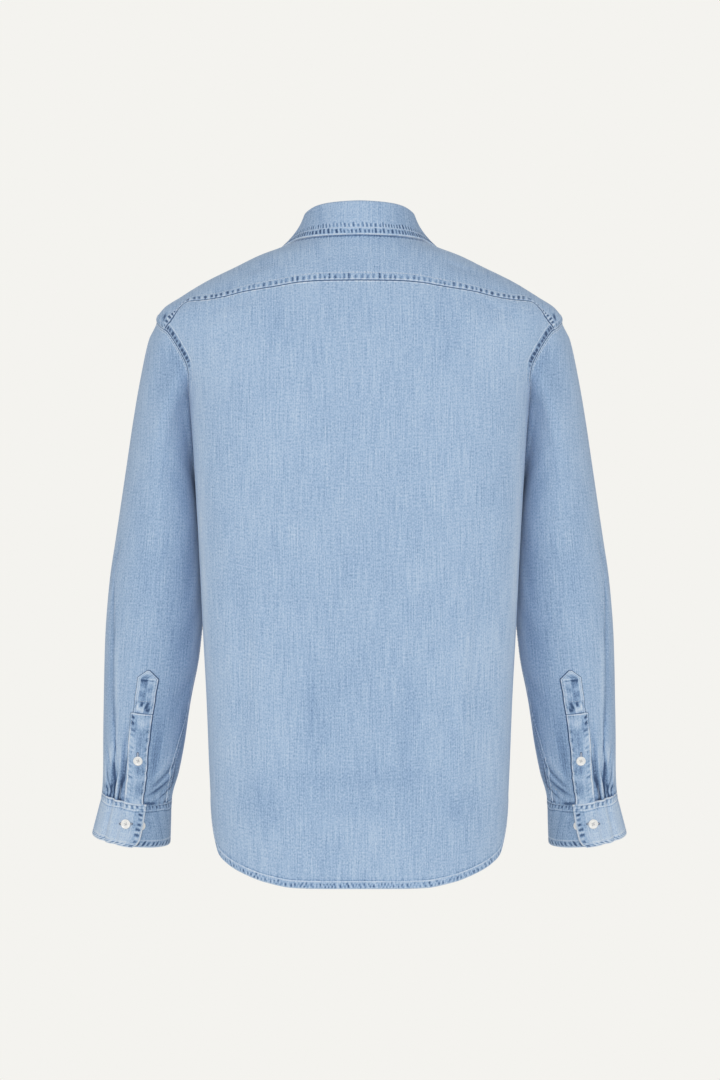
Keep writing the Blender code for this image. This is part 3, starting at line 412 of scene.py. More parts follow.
def buildMesh(name, corners, faces, finish, uv=None, fields=None, sharp=50):
    # faces are arrays of corner numbers, four or three to a row; uv has a row for each face corner
    mesh = bpy.data.meshes.new(name)
    loops = np.concatenate([face.ravel() for face in faces]).astype(np.int32)
    sizes = np.concatenate([np.full(len(face), face.shape[1]) for face in faces])
    mesh.vertices.add(len(corners))
    mesh.loops.add(len(loops))
    mesh.polygons.add(len(sizes))
    mesh.vertices.foreach_set("co", np.asarray(corners, np.float32).ravel())
    mesh.loops.foreach_set("vertex_index", loops)
    mesh.polygons.foreach_set("loop_start", np.concatenate([[0], np.cumsum(sizes)[:-1]]).astype(np.int32))
    mesh.update(calc_edges=True)
    if uv is not None:
        mesh.uv_layers.new(name="cloth").uv.foreach_set("vector", np.asarray(uv, np.float32).ravel())
    for field, values in (fields or {}).items():
        mesh.attributes.new(field, "FLOAT", "POINT").data.foreach_set(
            "value", np.asarray(values, np.float32).ravel()
        )
    mesh.shade_smooth()
    mesh.set_sharp_from_angle(angle=math.radians(sharp))
    mesh.materials.append(finish)
    mesh.validate()
    piece = bpy.data.objects.new(name, mesh)
    bpy.context.scene.collection.objects.link(piece)
    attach(piece, "root")
    return piece


def meshVolume(corners, faces):
    total = 0.0
    for face in faces:
        a, b, c = (corners[face[:, k]] for k in (0, 1, 2))
        total += np.einsum("ij,ij->", a, np.cross(b, c))
        if face.shape[1] == 4:
            total += np.einsum("ij,ij->", a, np.cross(c, corners[face[:, 3]]))
    return total


def rimFaces(fine, coarse, step):  # triangles between a fine edge and a coarse one
    near = np.repeat(coarse[:-1], step)
    fan = np.stack([fine[:-1], fine[1:], near], axis=1)
    close = np.stack([fine[step::step], coarse[1:], coarse[:-1]], axis=1)
    return np.concatenate([fan, close])


# the wear field carries both real wear and painted shade and highlights into the finish
def clothPart(grid, normals, lift, uv, wearAndShade, closed=False, thickness=None, under=None):
    thickness = thickness or body["thickness"]
    inner = grid + normals * ((lift if under is None else under) - thickness)[..., None]
    outer = grid + normals * lift[..., None]
    return {"outer": outer, "inner": inner, "normals": normals, "uv": uv, "wearAndShade": wearAndShade, "closed": closed}


def makeCloth(name, part, finish, side=1):
    # the outer face is fine and the inner face takes every fourth point of it; strips close the edges
    outer, closed, step = part["outer"], part["closed"], 4
    inner = part["inner"][::step, ::step]
    numbers, real, uvs, shift, shiftReal = [], [], [], 0, 0
    for surface, uv in ((outer, part["uv"]), (inner, part["uv"][::step, ::step])):
        columns, rows = surface.shape[:2]
        wide = columns + 1 if closed else columns
        numbers.append(np.arange(wide * rows).reshape(wide, rows) + shift)
        own = np.arange(columns * rows).reshape(columns, rows) + shiftReal
        real.append((ringed(own) if closed else own).ravel())
        uvs.append(uv[:wide].reshape(-1, 2))
        shift, shiftReal = shift + wide * rows, shiftReal + columns * rows
    fine, coarse = numbers
    quads = [gridQuads(fine), gridQuads(coarse)[:, [0, 3, 2, 1]]]
    rims = [rimFaces(fine[::-1, 0], coarse[::-1, 0], step), rimFaces(fine[:, -1], coarse[:, -1], step)]
    if not closed:
        rims += [rimFaces(fine[0], coarse[0], step), rimFaces(fine[-1, ::-1], coarse[-1, ::-1], step)]
    faces = [np.concatenate(quads), np.concatenate(rims)]
    corners = np.concatenate([outer.reshape(-1, 3), inner.reshape(-1, 3)])
    real, uvs = np.concatenate(real), np.concatenate(uvs)
    if meshVolume(corners, [real[face] for face in faces]) < 0:
        faces = [face[:, ::-1] for face in faces]
    if side < 0:
        corners, faces = mirrored(corners, faces)
    uvLoops = np.concatenate([uvs[face.ravel()] for face in faces])
    wearAndShade = np.concatenate([part["wearAndShade"].ravel(), part["wearAndShade"][::step, ::step].ravel()])
    inside = np.concatenate([np.zeros(outer[..., 0].size), np.ones(inner[..., 0].size)])
    fields = {"wearAndShade": wearAndShade, "inside": inside}
    return buildMesh(name, corners, [real[face] for face in faces], finish, uvLoops, fields)


thread = {"pitch": 3.3, "length": 2.75, "width": 0.23, "rise": 0.06, "sink": 0.3}  # mm


def seamLines(part, measure, distances, axis, first=0, last=None):
    # for each distance, in mm, the line on the outer face where the measure has this value
    surface, out = part["outer"], part["normals"]
    if axis == 0:
        measure, surface, out = measure.T, surface.swapaxes(0, 1), out.swapaxes(0, 1)
    measure, surface, out = (x[first:last] for x in (measure, surface, out))
    if measure[0, 0] > measure[0, -1]:
        measure, surface, out = (x[:, ::-1] for x in (measure, surface, out))
    rows, size = np.arange(len(measure)), measure.shape[1]
    lines = []
    for distance in distances:
        place = np.array([np.interp(distance * mm, row, np.arange(size)) for row in measure])
        low = np.clip(place.astype(int), 0, size - 2)
        share = (place - low)[:, None]
        points = surface[rows, low] * (1 - share) + surface[rows, low + 1] * share
        lines.append((points, unit(out[rows, low] * (1 - share) + out[rows, low + 1] * share)))
    return lines


def stitchCorners(lines):
    # each stitch is a small four-sided bar with pointed ends that dips into the cloth at both ends
    half, wide, rise, sink = (thread[k] * mm for k in ("length", "width", "rise", "sink"))
    half /= 2
    shape = [(-half, 0, -sink)]
    shoulder = (0.72 * half, rise * 0.5, 0.8 * wide)  # way along, height, size
    for along, up, size in ((-shoulder[0], *shoulder[1:]), (0, rise + 0.05 * mm, wide), shoulder):
        shape += [(along, 0, up + size), (along, size, up), (along, 0, up - size), (along, -size, up)]
    shape = np.array(shape + [(half, 0, -sink)])
    corners = []
    for points, out in lines:
        run = runLength(points)
        count = max(int(run[-1] / (thread["pitch"] * mm)), 1)
        at = (np.arange(count) + 0.5) / count * run[-1]
        middle, ahead, behind, normal = (
            np.stack([np.interp(place, run, source[:, k]) for k in range(3)], axis=1)
            for place, source in ((at, points), (at + half, points), (at - half, points), (at, out))
        )
        along = unit(ahead - behind)
        normal = unit(normal)
        axes = along, np.cross(normal, along), normal
        corners.append(
            middle[:, None] + sum(shape[None, :, k : k + 1] * axis[:, None] for k, axis in enumerate(axes))
        )
    return np.concatenate(corners)


def sew(name, lines, side):  # all the bars of these lines as one mesh
    corners = stitchCorners(lines)
    k = np.arange(4)
    nextK = (k + 1) % 4
    sides = [np.stack([row + k, row + nextK, row + 4 + nextK, row + 4 + k], axis=1) for row in (1, 5)]
    tips = [np.stack([0 * k, 1 + nextK, 1 + k], axis=1), np.stack([0 * k + 13, 9 + k, 9 + nextK], axis=1)]
    shifts = np.arange(len(corners))[:, None, None] * 14
    faces = [(np.concatenate(sides) + shifts).reshape(-1, 4), (np.concatenate(tips) + shifts).reshape(-1, 3)]
    flat = corners.reshape(-1, 3)
    if meshVolume(flat, faces) < 0:
        faces = [face[:, ::-1] for face in faces]
    if side < 0:
        flat, faces = mirrored(flat, faces)
    buildMesh(name, flat, faces, threadMade, sharp=80)


# Finishes


def linear(*levels):  # 0 to 255 display levels as linear colour
    part = np.array(levels) / 255
    return tuple(np.where(part < 0.04045, part / 12.92, ((part + 0.055) / 1.055) ** 2.4)) + (1.0,)


def calc(tree, operation, *values):  # a maths node on sockets and numbers
    node = tree.nodes.new("ShaderNodeMath")
    node.operation = operation
    for k, value in enumerate(values):
        if isinstance(value, (int, float)):
            node.inputs[k].default_value = value
        else:
            tree.links.new(value, node.inputs[k])
    return node.outputs[0]


def speckle(tree, vector, stretch, detail, gain=2.6):  # stretched noise, from about -1 to 1
    scaled = tree.nodes.new("ShaderNodeVectorMath")
    scaled.operation = "MULTIPLY"
    tree.links.new(vector, scaled.inputs[0])
    scaled.inputs[1].default_value = stretch
    noise = tree.nodes.new("ShaderNodeTexNoise")
    noise.inputs["Scale"].default_value = 1.0
    noise.inputs["Detail"].default_value = detail
    tree.links.new(scaled.outputs[0], noise.inputs["Vector"])
    return calc(tree, "MULTIPLY", calc(tree, "SUBTRACT", noise.outputs[0], 0.5), gain)


def newGroup(name, inputs, outputs):
    tree = bpy.data.node_groups.new(name, "ShaderNodeTree")
    for socket, kind, value in inputs:
        made = tree.interface.new_socket(socket, in_out="INPUT", socket_type=kind)
        if value is not None:
            made.default_value = value
    for socket, kind in outputs:
        tree.interface.new_socket(socket, in_out="OUTPUT", socket_type=kind)
    return tree, tree.nodes.new("NodeGroupInput").outputs, tree.nodes.new("NodeGroupOutput").inputs


denim = {
    # marks to the metre, across and down
    "slub": (900, 24), "broadSlub": (620, 9), "cross": (70, 760), "grain": (700, 420), "mottle": (13, 11),
    "twill": 8200, "twillSlope": 0.7,
    # how fast the streaks' starts change across the cloth, and by how much, in metres
    "stagger": (520, 0.03),
    "slubTone": 0.2, "broadTone": 0.035, "crossTone": 0.09, "grainTone": 0.22, "mottleTone": 0.05,
    "twillTone": 0.035,
    # tone from dark dye to bare cotton; the greyer darkest stop serves the painted shade
    "outside": (
        (0.0, (60, 85, 122)), (0.28, (122, 151, 188)), (0.5, (159, 184, 214)), (0.72, (189, 206, 226)),
        (1.0, (220, 227, 236)),
    ),
    "inside": (
        (0.0, (150, 168, 188)), (0.5, (186, 199, 213)), (1.0, (216, 223, 230)),
    ),
    "toneOfWearAndShade": 0.5, "roughness": 0.86, "sheen": 0.12, "sheenRoughness": 0.6, "specular": 0.2,
    "twillHeight": 0.3, "slubHeight": 0.35, "bump": 0.35, "bumpDistance": 0.0003,
}


def weaveGroup():
    # warp streaks of uneven thickness + broader ones + short weft marks + grain + soft mottling, with a twill
    sockets = [("Cloth", "NodeSocketVector", None), ("Strength", "NodeSocketFloat", 1.0)]
    made = [("Tone", "NodeSocketFloat"), ("Height", "NodeSocketFloat")]
    tree, given, out = newGroup("denimWeave", sockets, made)
    often, far = denim["stagger"]
    shift = tree.nodes.new("ShaderNodeCombineXYZ")
    uneven = speckle(tree, given["Cloth"], (often, 0.3, 1), 0)
    tree.links.new(calc(tree, "MULTIPLY", uneven, far), shift.inputs[1])
    staggered = tree.nodes.new("ShaderNodeVectorMath")
    tree.links.new(given["Cloth"], staggered.inputs[0])
    tree.links.new(shift.outputs[0], staggered.inputs[1])
    slub = speckle(tree, staggered.outputs[0], (*denim["slub"], 1), 2)
    broad = speckle(tree, staggered.outputs[0], (*denim["broadSlub"], 1), 2)
    small = (("cross", 2), ("mottle", 3), ("grain", 1))
    cross, mottle, grain = (
        speckle(tree, given["Cloth"], (*denim[name], 1), detail) for name, detail in small
    )
    tone = calc(tree, "MULTIPLY", slub, denim["slubTone"])
    for part, amount in (
        (broad, "broadTone"), (cross, "crossTone"), (grain, "grainTone"), (mottle, "mottleTone")
    ):
        tone = calc(tree, "MULTIPLY_ADD", part, denim[amount], tone)
    axes = tree.nodes.new("ShaderNodeSeparateXYZ")
    tree.links.new(given["Cloth"], axes.inputs[0])
    slope = calc(tree, "MULTIPLY", axes.outputs[1], denim["twillSlope"])
    diagonal = calc(tree, "MULTIPLY", calc(tree, "ADD", axes.outputs[0], slope), denim["twill"])
    twill = calc(tree, "SINE", calc(tree, "MULTIPLY_ADD", slub, 0.8, diagonal))
    tone = calc(tree, "MULTIPLY_ADD", twill, denim["twillTone"], tone)
    tree.links.new(calc(tree, "MULTIPLY", tone, given["Strength"]), out["Tone"])
    uneven = calc(tree, "MULTIPLY", calc(tree, "ADD", slub, cross), denim["slubHeight"])
    tree.links.new(calc(tree, "MULTIPLY_ADD", twill, denim["twillHeight"], uneven), out["Height"])
    return tree


weave = weaveGroup()


def ramp(tree, stops, factor):
    node = tree.nodes.new("ShaderNodeValToRGB")
    for k, (place, colour) in enumerate(stops):
        stop = node.color_ramp.elements[k] if k < 2 else node.color_ramp.elements.new(place)
        stop.position, stop.color = place, linear(*colour)
    tree.links.new(factor, node.inputs[0])
    return node.outputs[0]


def freshMaterial(name, roughness):
    made = bpy.data.materials.new(name)
    made.use_nodes = True
    shader = made.node_tree.nodes["Principled BSDF"]
    shader.inputs["Roughness"].default_value = roughness
    return made, made.node_tree, shader


def denimFinish(name, shift):  # shift makes a piece's dye a little paler or deeper
    made, tree, shader = freshMaterial(name, denim["roughness"])
    cloth = tree.nodes.new("ShaderNodeUVMap")
    cloth.uv_map = "cloth"
    group = tree.nodes.new("ShaderNodeGroup")
    group.node_tree = weave
    tree.links.new(cloth.outputs[0], group.inputs["Cloth"])
    # the wear field: worn pale edges and pucker wear, plus painted shade and highlights on creases, pleats,
    # seam steps, lapped edges and crevices
    wearAndShade, inside = tree.nodes.new("ShaderNodeAttribute"), tree.nodes.new("ShaderNodeAttribute")
    wearAndShade.attribute_name, inside.attribute_name = "wearAndShade", "inside"
    wornAndShaded = calc(tree, "MULTIPLY_ADD", wearAndShade.outputs["Fac"], denim["toneOfWearAndShade"], group.outputs["Tone"])
    factor = calc(tree, "ADD", wornAndShaded, 0.5 + shift)
    mix = tree.nodes.new("ShaderNodeMix")
    mix.data_type = "RGBA"
    tree.links.new(inside.outputs["Fac"], mix.inputs[0])
    tree.links.new(ramp(tree, denim["outside"], factor), mix.inputs[6])
    tree.links.new(ramp(tree, denim["inside"], factor), mix.inputs[7])
    tree.links.new(mix.outputs[2], shader.inputs["Base Color"])
    bumpNode = tree.nodes.new("ShaderNodeBump")
    bumpNode.inputs["Strength"].default_value = denim["bump"]
    bumpNode.inputs["Distance"].default_value = denim["bumpDistance"]
    tree.links.new(group.outputs["Height"], bumpNode.inputs["Height"])
    tree.links.new(bumpNode.outputs[0], shader.inputs["Normal"])
    for socket, value in (
        ("Sheen Weight", "sheen"), ("Sheen Roughness", "sheenRoughness"), ("Specular IOR Level", "specular")
    ):
        shader.inputs[socket].default_value = denim[value]
    return made


def clouded(name, roughness, colours, marks, detail, share):
    # two colours, mixed by noise: noise * share + 1 - share
    made, tree, shader = freshMaterial(name, roughness)
    place = tree.nodes.new("ShaderNodeTexCoord")
    cloud = speckle(tree, place.outputs["Object"], marks, detail)
    colour = ramp(tree, tuple(enumerate(colours)), calc(tree, "MULTIPLY_ADD", cloud, share, 1 - share))
    tree.links.new(colour, shader.inputs["Base Color"])
    return made, tree, shader, cloud


def threadFinish(name, colour):
    dark = tuple(int(x * 0.86) for x in colour)
    return clouded(name, 0.6, (dark, colour), (900, 900, 900), 1, 0.4)[0]


def buttonFinish():
    colours = ((222, 222, 221), (246, 246, 245))
    made, tree, shader, cloud = clouded("shirtButton", 0.22, colours, (260, 260, 420), 3, 0.4)
    tree.links.new(calc(tree, "MULTIPLY_ADD", cloud, 0.05, 0.24), shader.inputs["Roughness"])
    shader.inputs["Coat Weight"].default_value = 0.4
    return made


bodyDenim = denimFinish("bodyDenim", 0.0)
trimDenim = denimFinish("trimDenim", -0.03)
sleeveDenim = denimFinish("sleeveDenim", -0.02)
threadMade = threadFinish("seamThread", (206, 217, 231))
whiteThread = threadFinish("buttonThread", (212, 214, 219))
holeThread = threadFinish("buttonholeThread", (108, 122, 150))
slitMade = threadFinish("slitThread", (206, 211, 220))
buttonMade = buttonFinish()
print("finishes ready")

pieces = {}


def makePieces(rows, side=1):  # each piece of cloth stands for its node; then come the stitches of each
    for name, node, finish, (part, _) in rows:
        pieces[name] = makeCloth(name, part, finish, side)
        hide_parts(node)
    for name, _, _, (_, lines) in rows:
        sew(name.replace("Panel", "") + "Stitches", lines, side)


# Back

back = {
    "columns": 417, "rows": 209, "fade": 20, "seamIn": 1.0, "sideIn": 0.4,
    # from u, v to u, v, bow, width, depth, in mm from the back centre and down from the neck
    "creases": bothWays(
        (-95, 66, -108, 150, 6, 12, -0.9), (-186, 108, -110, 84, 5, 8, -1.0),
        (-190, 128, -126, 112, 4, 7, 0.8),
    ) + (
        (-60, 470, -54, 690, 8, 13, -1.8), (56, 480, 60, 690, -8, 13, -1.8),
        (-112, 430, -104, 720, -6, 17, 1.5), (110, 440, 106, 720, 6, 17, 1.5),
        (-142, 380, -138, 640, 5, 14, -1.5), (140, 390, 138, 640, -5, 14, -1.5),
        (-178, 300, -150, 420, 8, 12, 1.3), (176, 310, 150, 425, -8, 12, 1.3),
        (-30, 600, 36, 612, 6, 10, -0.7), (-120, 540, -70, 560, 5, 9, -0.7),
        (70, 556, 122, 538, -5, 9, -0.7), (-20, 300, -34, 470, 5, 20, -0.8),
        (26, 300, 36, 460, -5, 20, -0.8),
    ),
    # u, v, their spreads, tone: soft patches, partly wash mottling and partly painted shade and painted
    # light, such as the lightened crevice beside the sleeve
    "mottleAndShade": bothWays(
        (-54, 550, 9, 36, -0.2), (-160, 340, 30, 90, -0.12), (-196, 400, 14, 150, 0.7),
        (-98, 100, 14, 40, -0.1), (-150, 140, 34, 46, 0.08), (-70, 200, 10, 50, 0.07),
    ) + (
        (-142, 500, 26, 44, 0.24), (140, 500, 26, 44, 0.24), (-148, 610, 16, 36, 0.2),
        (146, 610, 16, 36, 0.2), (-108, 662, 24, 24, -0.34), (110, 662, 24, 24, -0.34),
        (0, 680, 28, 16, 0.1), (-40, 625, 60, 12, -0.22), (44, 625, 60, 12, -0.22), (0, 84, 10, 14, -0.1),
        (0, 560, 90, 110, -0.12), (-86, 590, 12, 40, 0.16), (88, 590, 12, 40, 0.16),
        (-30, 655, 40, 14, -0.14), (34, 655, 40, 14, -0.14),
    ),
    # width, rise and stitch rows of each turned edge, in mm
    "hem": (8.5, 0.55, (7.9,)), "arm": (9.5, 0.55, (1.6, 8.9)), "side": (8.0, 0.45, (1.6, 7.2)),
    "puckers": {
        "hem": (11, 5.0, 0.6, 7.9, 0.45, 0.24, 0.4, 0.42, 1.25),
        "aboveHem": (12, 7.0, 0.6, 5.0, 0.3, 0.2, 0.4, 0.16, 0.3),
        "arm": (13, 5.0, 2.2, 7.8, 0.15, 0.3, 0.15, 0.4, 1.0),
        "side": (14, 7.5, 0.8, 8.0, 0.3, 0.2, 0.4, 0.3, 0.4),
        "yoke": (15, 7.5, 1.2, 5.5, 0.2, 0.2, 0.4, 0.15, 0.3),
    },
    # tone, distance and width in mm: painted highlight and shadow at the step of the hem's band, and a
    # painted highlight at the armhole band's edge
    "hemStepShading": ((0.85, 8.4, 0.6), (-0.75, 9.6, 0.6)), "armEdgeHighlight": ((0.55, 9.3, 0.5),),
    "armTone": -0.24, "shownTo": 0.064, "shownOver": 0.018,  # way down the armhole
    "outwardFrom": 0.188, "outwardOver": 0.016,  # x where the yoke's shadow grows
    "groove": ((-0.9, 0, 1.4),),  # under the yoke: height, place and width in mm
    "toneShare": 0.45, "creaseShading": 35,  # of the mottle and shade patches above, and the painted shade in troughs and highlight on ridges for a metre of crease
}


def backSeam(count, crowd=0.013):  # the yoke's seam from the centre to the armhole
    end = torso(*backArm[0])[0]
    x = end - graded(end, count, [(0, crowd, 2.4)])[::-1]
    x[0], x[-1] = 0, end
    table = np.array(body["yokeSeam"])
    height = smoothCurve(table[:, 0], table[:, 1], x)
    line = np.stack([turnAtX(x, height, True), height], axis=1)
    line[-1] = backArm[0]
    return line


def nearArmhole(alongSide, armLength):  # 1 beside the armhole, 0 beside the side seam
    return ease((armLength + 4 * mm - alongSide) / (8 * mm))


def backPiece():  # the body's surface between the seams, plus relief along its normals
    top = bothSides(backSeam((back["columns"] + 1) // 2))
    side = panelSide(backArm)
    long, armLength = lineLength(side), lineLength(backArm)
    zones = [(-0.001, 0.004, 5), (-0.01, 0.078, 1.6), (long - 0.009, long + 0.004, 3.5)]
    last = resample(side, graded(long, back["rows"], zones) / long)
    share = (top[:, 0] - top[0, 0]) / (top[-1, 0] - top[0, 0])
    turns = top[:, 0] / top[-1, 0] * sideTurn
    bottom = np.stack([turns, heightAtTurn("hem", turns)], axis=1)
    points, normals = onTorso(coons(top, bottom, last * (-1, 1), last, back["fade"], share))
    points = stretchEdges(points, normals, ("top",), back["seamIn"] * mm)
    points = stretchEdges(points, normals, ("first", "last"), back["sideIn"] * mm)
    down, fromBottom, across, fromLast = measures(points)
    fromSide = np.minimum(across, fromLast)
    alongSide, alongHem, alongTop = down[:1], across[:, -1:], across[:, :1]
    middle = (back["columns"] - 1) // 2
    u, v = across - across[middle : middle + 1], down - points[:, :1, 2]
    atArm = nearArmhole(alongSide, armLength)
    shown = ease((back["shownTo"] - alongSide) / back["shownOver"])
    soft = creases(u, v, back["creases"]) * ease(down / 0.012)
    soft = soft * ease(fromBottom / 0.02) * ease(fromSide / 0.02)
    lift, wearAndShade = puckered(back["puckers"], {
        "hem": (alongHem, fromBottom, 1), "aboveHem": (alongHem, fromBottom - back["hem"][0] * mm, 1),
        "arm": (alongSide, fromSide, atArm, 0.5 + 1.7 * shown), "side": (alongSide, fromSide, 1 - atArm),
        "yoke": (alongTop, down, 1),
    })
    lift = lift + body["cloth"] / 2 + soft + mm * streaks(down, back["groove"])
    lift = lift + band(fromBottom, *back["hem"])
    lift = lift + atArm * band(fromSide, *back["arm"]) + (1 - atArm) * band(fromSide, *back["side"])
    # mottling and painted shade and light patches, plus painted shade and highlight in the creases
    wearAndShade = wearAndShade + patches(u, v, back["mottleAndShade"]) * back["toneShare"] + back["creaseShading"] * soft
    outward = ease((np.abs(points[:, :1, 0]) - back["outwardFrom"]) / back["outwardOver"])
    # painted shadow under the yoke's lapped edge, wider towards the armholes
    wearAndShade = wearAndShade - (2.6 + 2.0 * outward) * bump(down - 2.1 * mm, (0.6 + 0.5 * outward) * mm)
    topLine, hemLine = 0.7 + 0.3 * ripple(alongTop, 16, 0.005), 0.7 + 0.3 * ripple(alongHem, 17, 0.006)
    # painted highlight on the back just below that shadow
    wearAndShade = wearAndShade + 0.95 * topLine * bump(down - (3.4 + 0.3 * outward) * mm, 0.7 * mm)
    # the hem's fold worn pale, then painted highlight and shadow at the band's step
    wearAndShade = wearAndShade + edgeTone(fromBottom, alongHem, 17, 0.6) + hemLine * streaks(fromBottom, back["hemStepShading"])
    # a painted highlight at the armhole band's edge, the fold worn pale, and a darker band
    armTones = streaks(fromSide, back["armEdgeHighlight"]) + edgeTone(fromSide, alongSide, 18, 0.6)
    armTones = armTones + back["armTone"] * between(fromSide, 1.2 * mm, back["arm"][0] * mm, 1.0 * mm)
    wearAndShade = wearAndShade + atArm * shown * armTones + (1 - atArm) * edgeTone(fromSide, alongSide, 19, 0.35)
    part = clothPart(points, normals, lift, stack(u, v), wearAndShade, under=body["cloth"] / 2 + soft)
    lines = seamLines(part, fromBottom, back["hem"][2], 1, 2, -2)
    armRows = int(np.searchsorted(alongSide[0], armLength))
    for measure in (across, fromLast):
        lines += seamLines(part, measure, (1.7, back["arm"][2][1]), 0, 1, armRows)
        lines += seamLines(part, measure, back["side"][2], 0, armRows, -2)
    return part, lines


makePieces([("backPanel", "back", bodyDenim, backPiece())])
print("back made")

# Yoke

yoke = {
    "seamColumns": 221, "armColumns": 73, "rows": 93, "neckIn": 1.0, "outerIn": 0.7, "frontIn": 0.6,
    "creases": bothWays((-150, 44, -96, 30, 3, 9, -0.9), (-196, 78, -150, 60, 4, 8, -0.9)) + (
        (-60, 16, -40, 52, 3, 9, -0.6), (58, 16, 40, 52, -3, 9, -0.6),
    ),
    # mottling and painted shade patches, as on the back
    "mottleAndShade": bothWays((-120, 40, 30, 10, -0.08), (-232.0, 65.0, 2.0, 4.2, -2.1)) + (
        (0, 34, 60, 12, 0.1), (0, 6, 90, 8, -0.12),
    ),
    "seam": (9.2, 0.6, (1.5, 8.8)), "arm": (9.5, 0.6, (1.6, 8.9)), "front": (7.5, 0.5, (1.6, 7.0)),
    "puckers": {
        "seam": (21, 6.3, 0.2, 8.6, 0.0, 0.24, 0.4, 0.4, 1.0),
        "above": (22, 4.0, 0.0, 3.0, 0.1, 0.2, 0.9, 0.14, 0.35),
        "arm": (23, 6.0, 1.4, 8.0, 0.3, 0.2, 0.4, 0.4, 1.3),
        "front": (24, 7.5, 0.8, 7.5, 0.2, 0.2, 0.4, 0.3, 0.8),
        "collar": (27, 4.0, 0.8, 3.4, 0.2, 0.2, 0.9, 0.0, 0.4),
    },
    # painted shadow on the yoke's lapped edge and a painted highlight at the band's upper edge
    "seamEdgeShading": ((-0.7, 0, 0.3), (0.3, 9.5, 0.7)),
    "outwardFrom": 0.12, "outwardOver": 0.06,  # x where the seam's puckers deepen
    "groove": ((-0.6, 0, 1.2),), "toneShare": 0.55, "creaseShading": 35,  # as on the back
}


def yokePiece():  # straight rules from the neck to the outer seam, laid on the body, plus relief
    seam = backSeam(yoke["seamColumns"])
    arm = resample(yokeArm, np.linspace(0, 1, yoke["armColumns"]))
    outer = bothSides(np.concatenate([seam, arm[1:]]))
    neckTurn, seamTurn = np.radians(body["yokeNeckTurn"]), np.radians(body["yokeFrontTurn"])
    aboveArm = np.linspace(neckTurn, seamTurn, yoke["armColumns"])[1:]
    half = np.concatenate([seam[:, 0] / seam[-1, 0] * neckTurn, aboveArm])
    turns = np.concatenate([-half[:0:-1], half])
    inner = np.stack([turns, heightAtTurn("neck", turns)], axis=1)
    at = graded(1, yoke["rows"], [(0.86, 1.02, 1.9), (-0.02, 0.05, 1.0)])[None, :, None]
    grid = (1 - at) * inner[:, None] + at * outer[:, None]
    points, normals = onTorso(grid)
    for edges, distance in ((("bottom",), "outerIn"), (("first", "last"), "frontIn"), (("top",), "neckIn")):
        points = stretchEdges(points, normals, edges, yoke[distance] * mm)
    down, fromOuter, across, fromLast = measures(points)
    fromFront = np.minimum(across, fromLast)
    middle = len(turns) // 2
    alongOuter = across[:, -1:] - across[middle, -1]
    atArm = ease((np.abs(alongOuter) - alongOuter[middle + yoke["seamColumns"] - 1, 0] + 3 * mm) / (6 * mm))
    x, y, z = (points[..., k] for k in range(3))
    u, v = x * 1.05, -0.8 * z - 0.9 * (y + 0.062)
    soft = creases(u, v, yoke["creases"]) * ease(fromOuter / 0.015) * ease(down / 0.015)
    level = x - np.sign(x) * np.minimum(z + 0.082, 0)
    outward = ease((np.abs(x) - yoke["outwardFrom"]) / yoke["outwardOver"])
    edge = np.array(body["collarEdge"])
    # the way down from the collar leaf's edge
    below = smoothCurve(np.radians(edge[:, 1]), edge[:, 2], np.abs(grid[..., 0])) - z
    lift, wearAndShade = puckered(yoke["puckers"], {
        "seam": (level, fromOuter, 1 - atArm, 1.0 + 0.9 * outward),
        "above": (alongOuter, fromOuter - 7.8 * mm, 1 - atArm), "arm": (alongOuter, fromOuter, atArm),
        "front": (down, fromFront, 1), "collar": (x, below, 1),
    })
    lift = lift + body["cloth"] / 2 + soft + mm * streaks(down, yoke["groove"])
    lift = lift + band(fromFront, *yoke["front"])
    lift = lift + (1 - atArm) * band(fromOuter, *yoke["seam"]) + atArm * band(fromOuter, *yoke["arm"])
    # mottling and painted shade patches, plus painted shade and highlight in the creases
    wearAndShade = wearAndShade + patches(u, v, yoke["mottleAndShade"]) * yoke["toneShare"] + yoke["creaseShading"] * soft
    wearAndShade = wearAndShade + (1 - atArm) * streaks(fromOuter, yoke["seamEdgeShading"])
    wearAndShade = wearAndShade + edgeTone(fromOuter - 0.4 * mm, alongOuter, 25, 1.25, 0.6)
    wearAndShade = wearAndShade + edgeTone(fromFront, down, 26, 0.7)
    # painted shadow just below the collar leaf's edge
    wearAndShade = wearAndShade - 0.8 * bump(below - 0.9 * mm, 0.8 * mm)
    part = clothPart(points, normals, lift, stack(u, v), wearAndShade, under=body["cloth"] / 2 + soft)
    lines = seamLines(part, fromOuter, (1.6, yoke["seam"][2][1]), 1, 1, -1)
    for measure in (across, fromLast):
        lines += seamLines(part, measure, (1.7, yoke["front"][2][1]), 0, 2, -2)
    return part, lines


makePieces([("yokePanel", "yoke", trimDenim, yokePiece())])
print("yoke made")

# Fronts and the button band

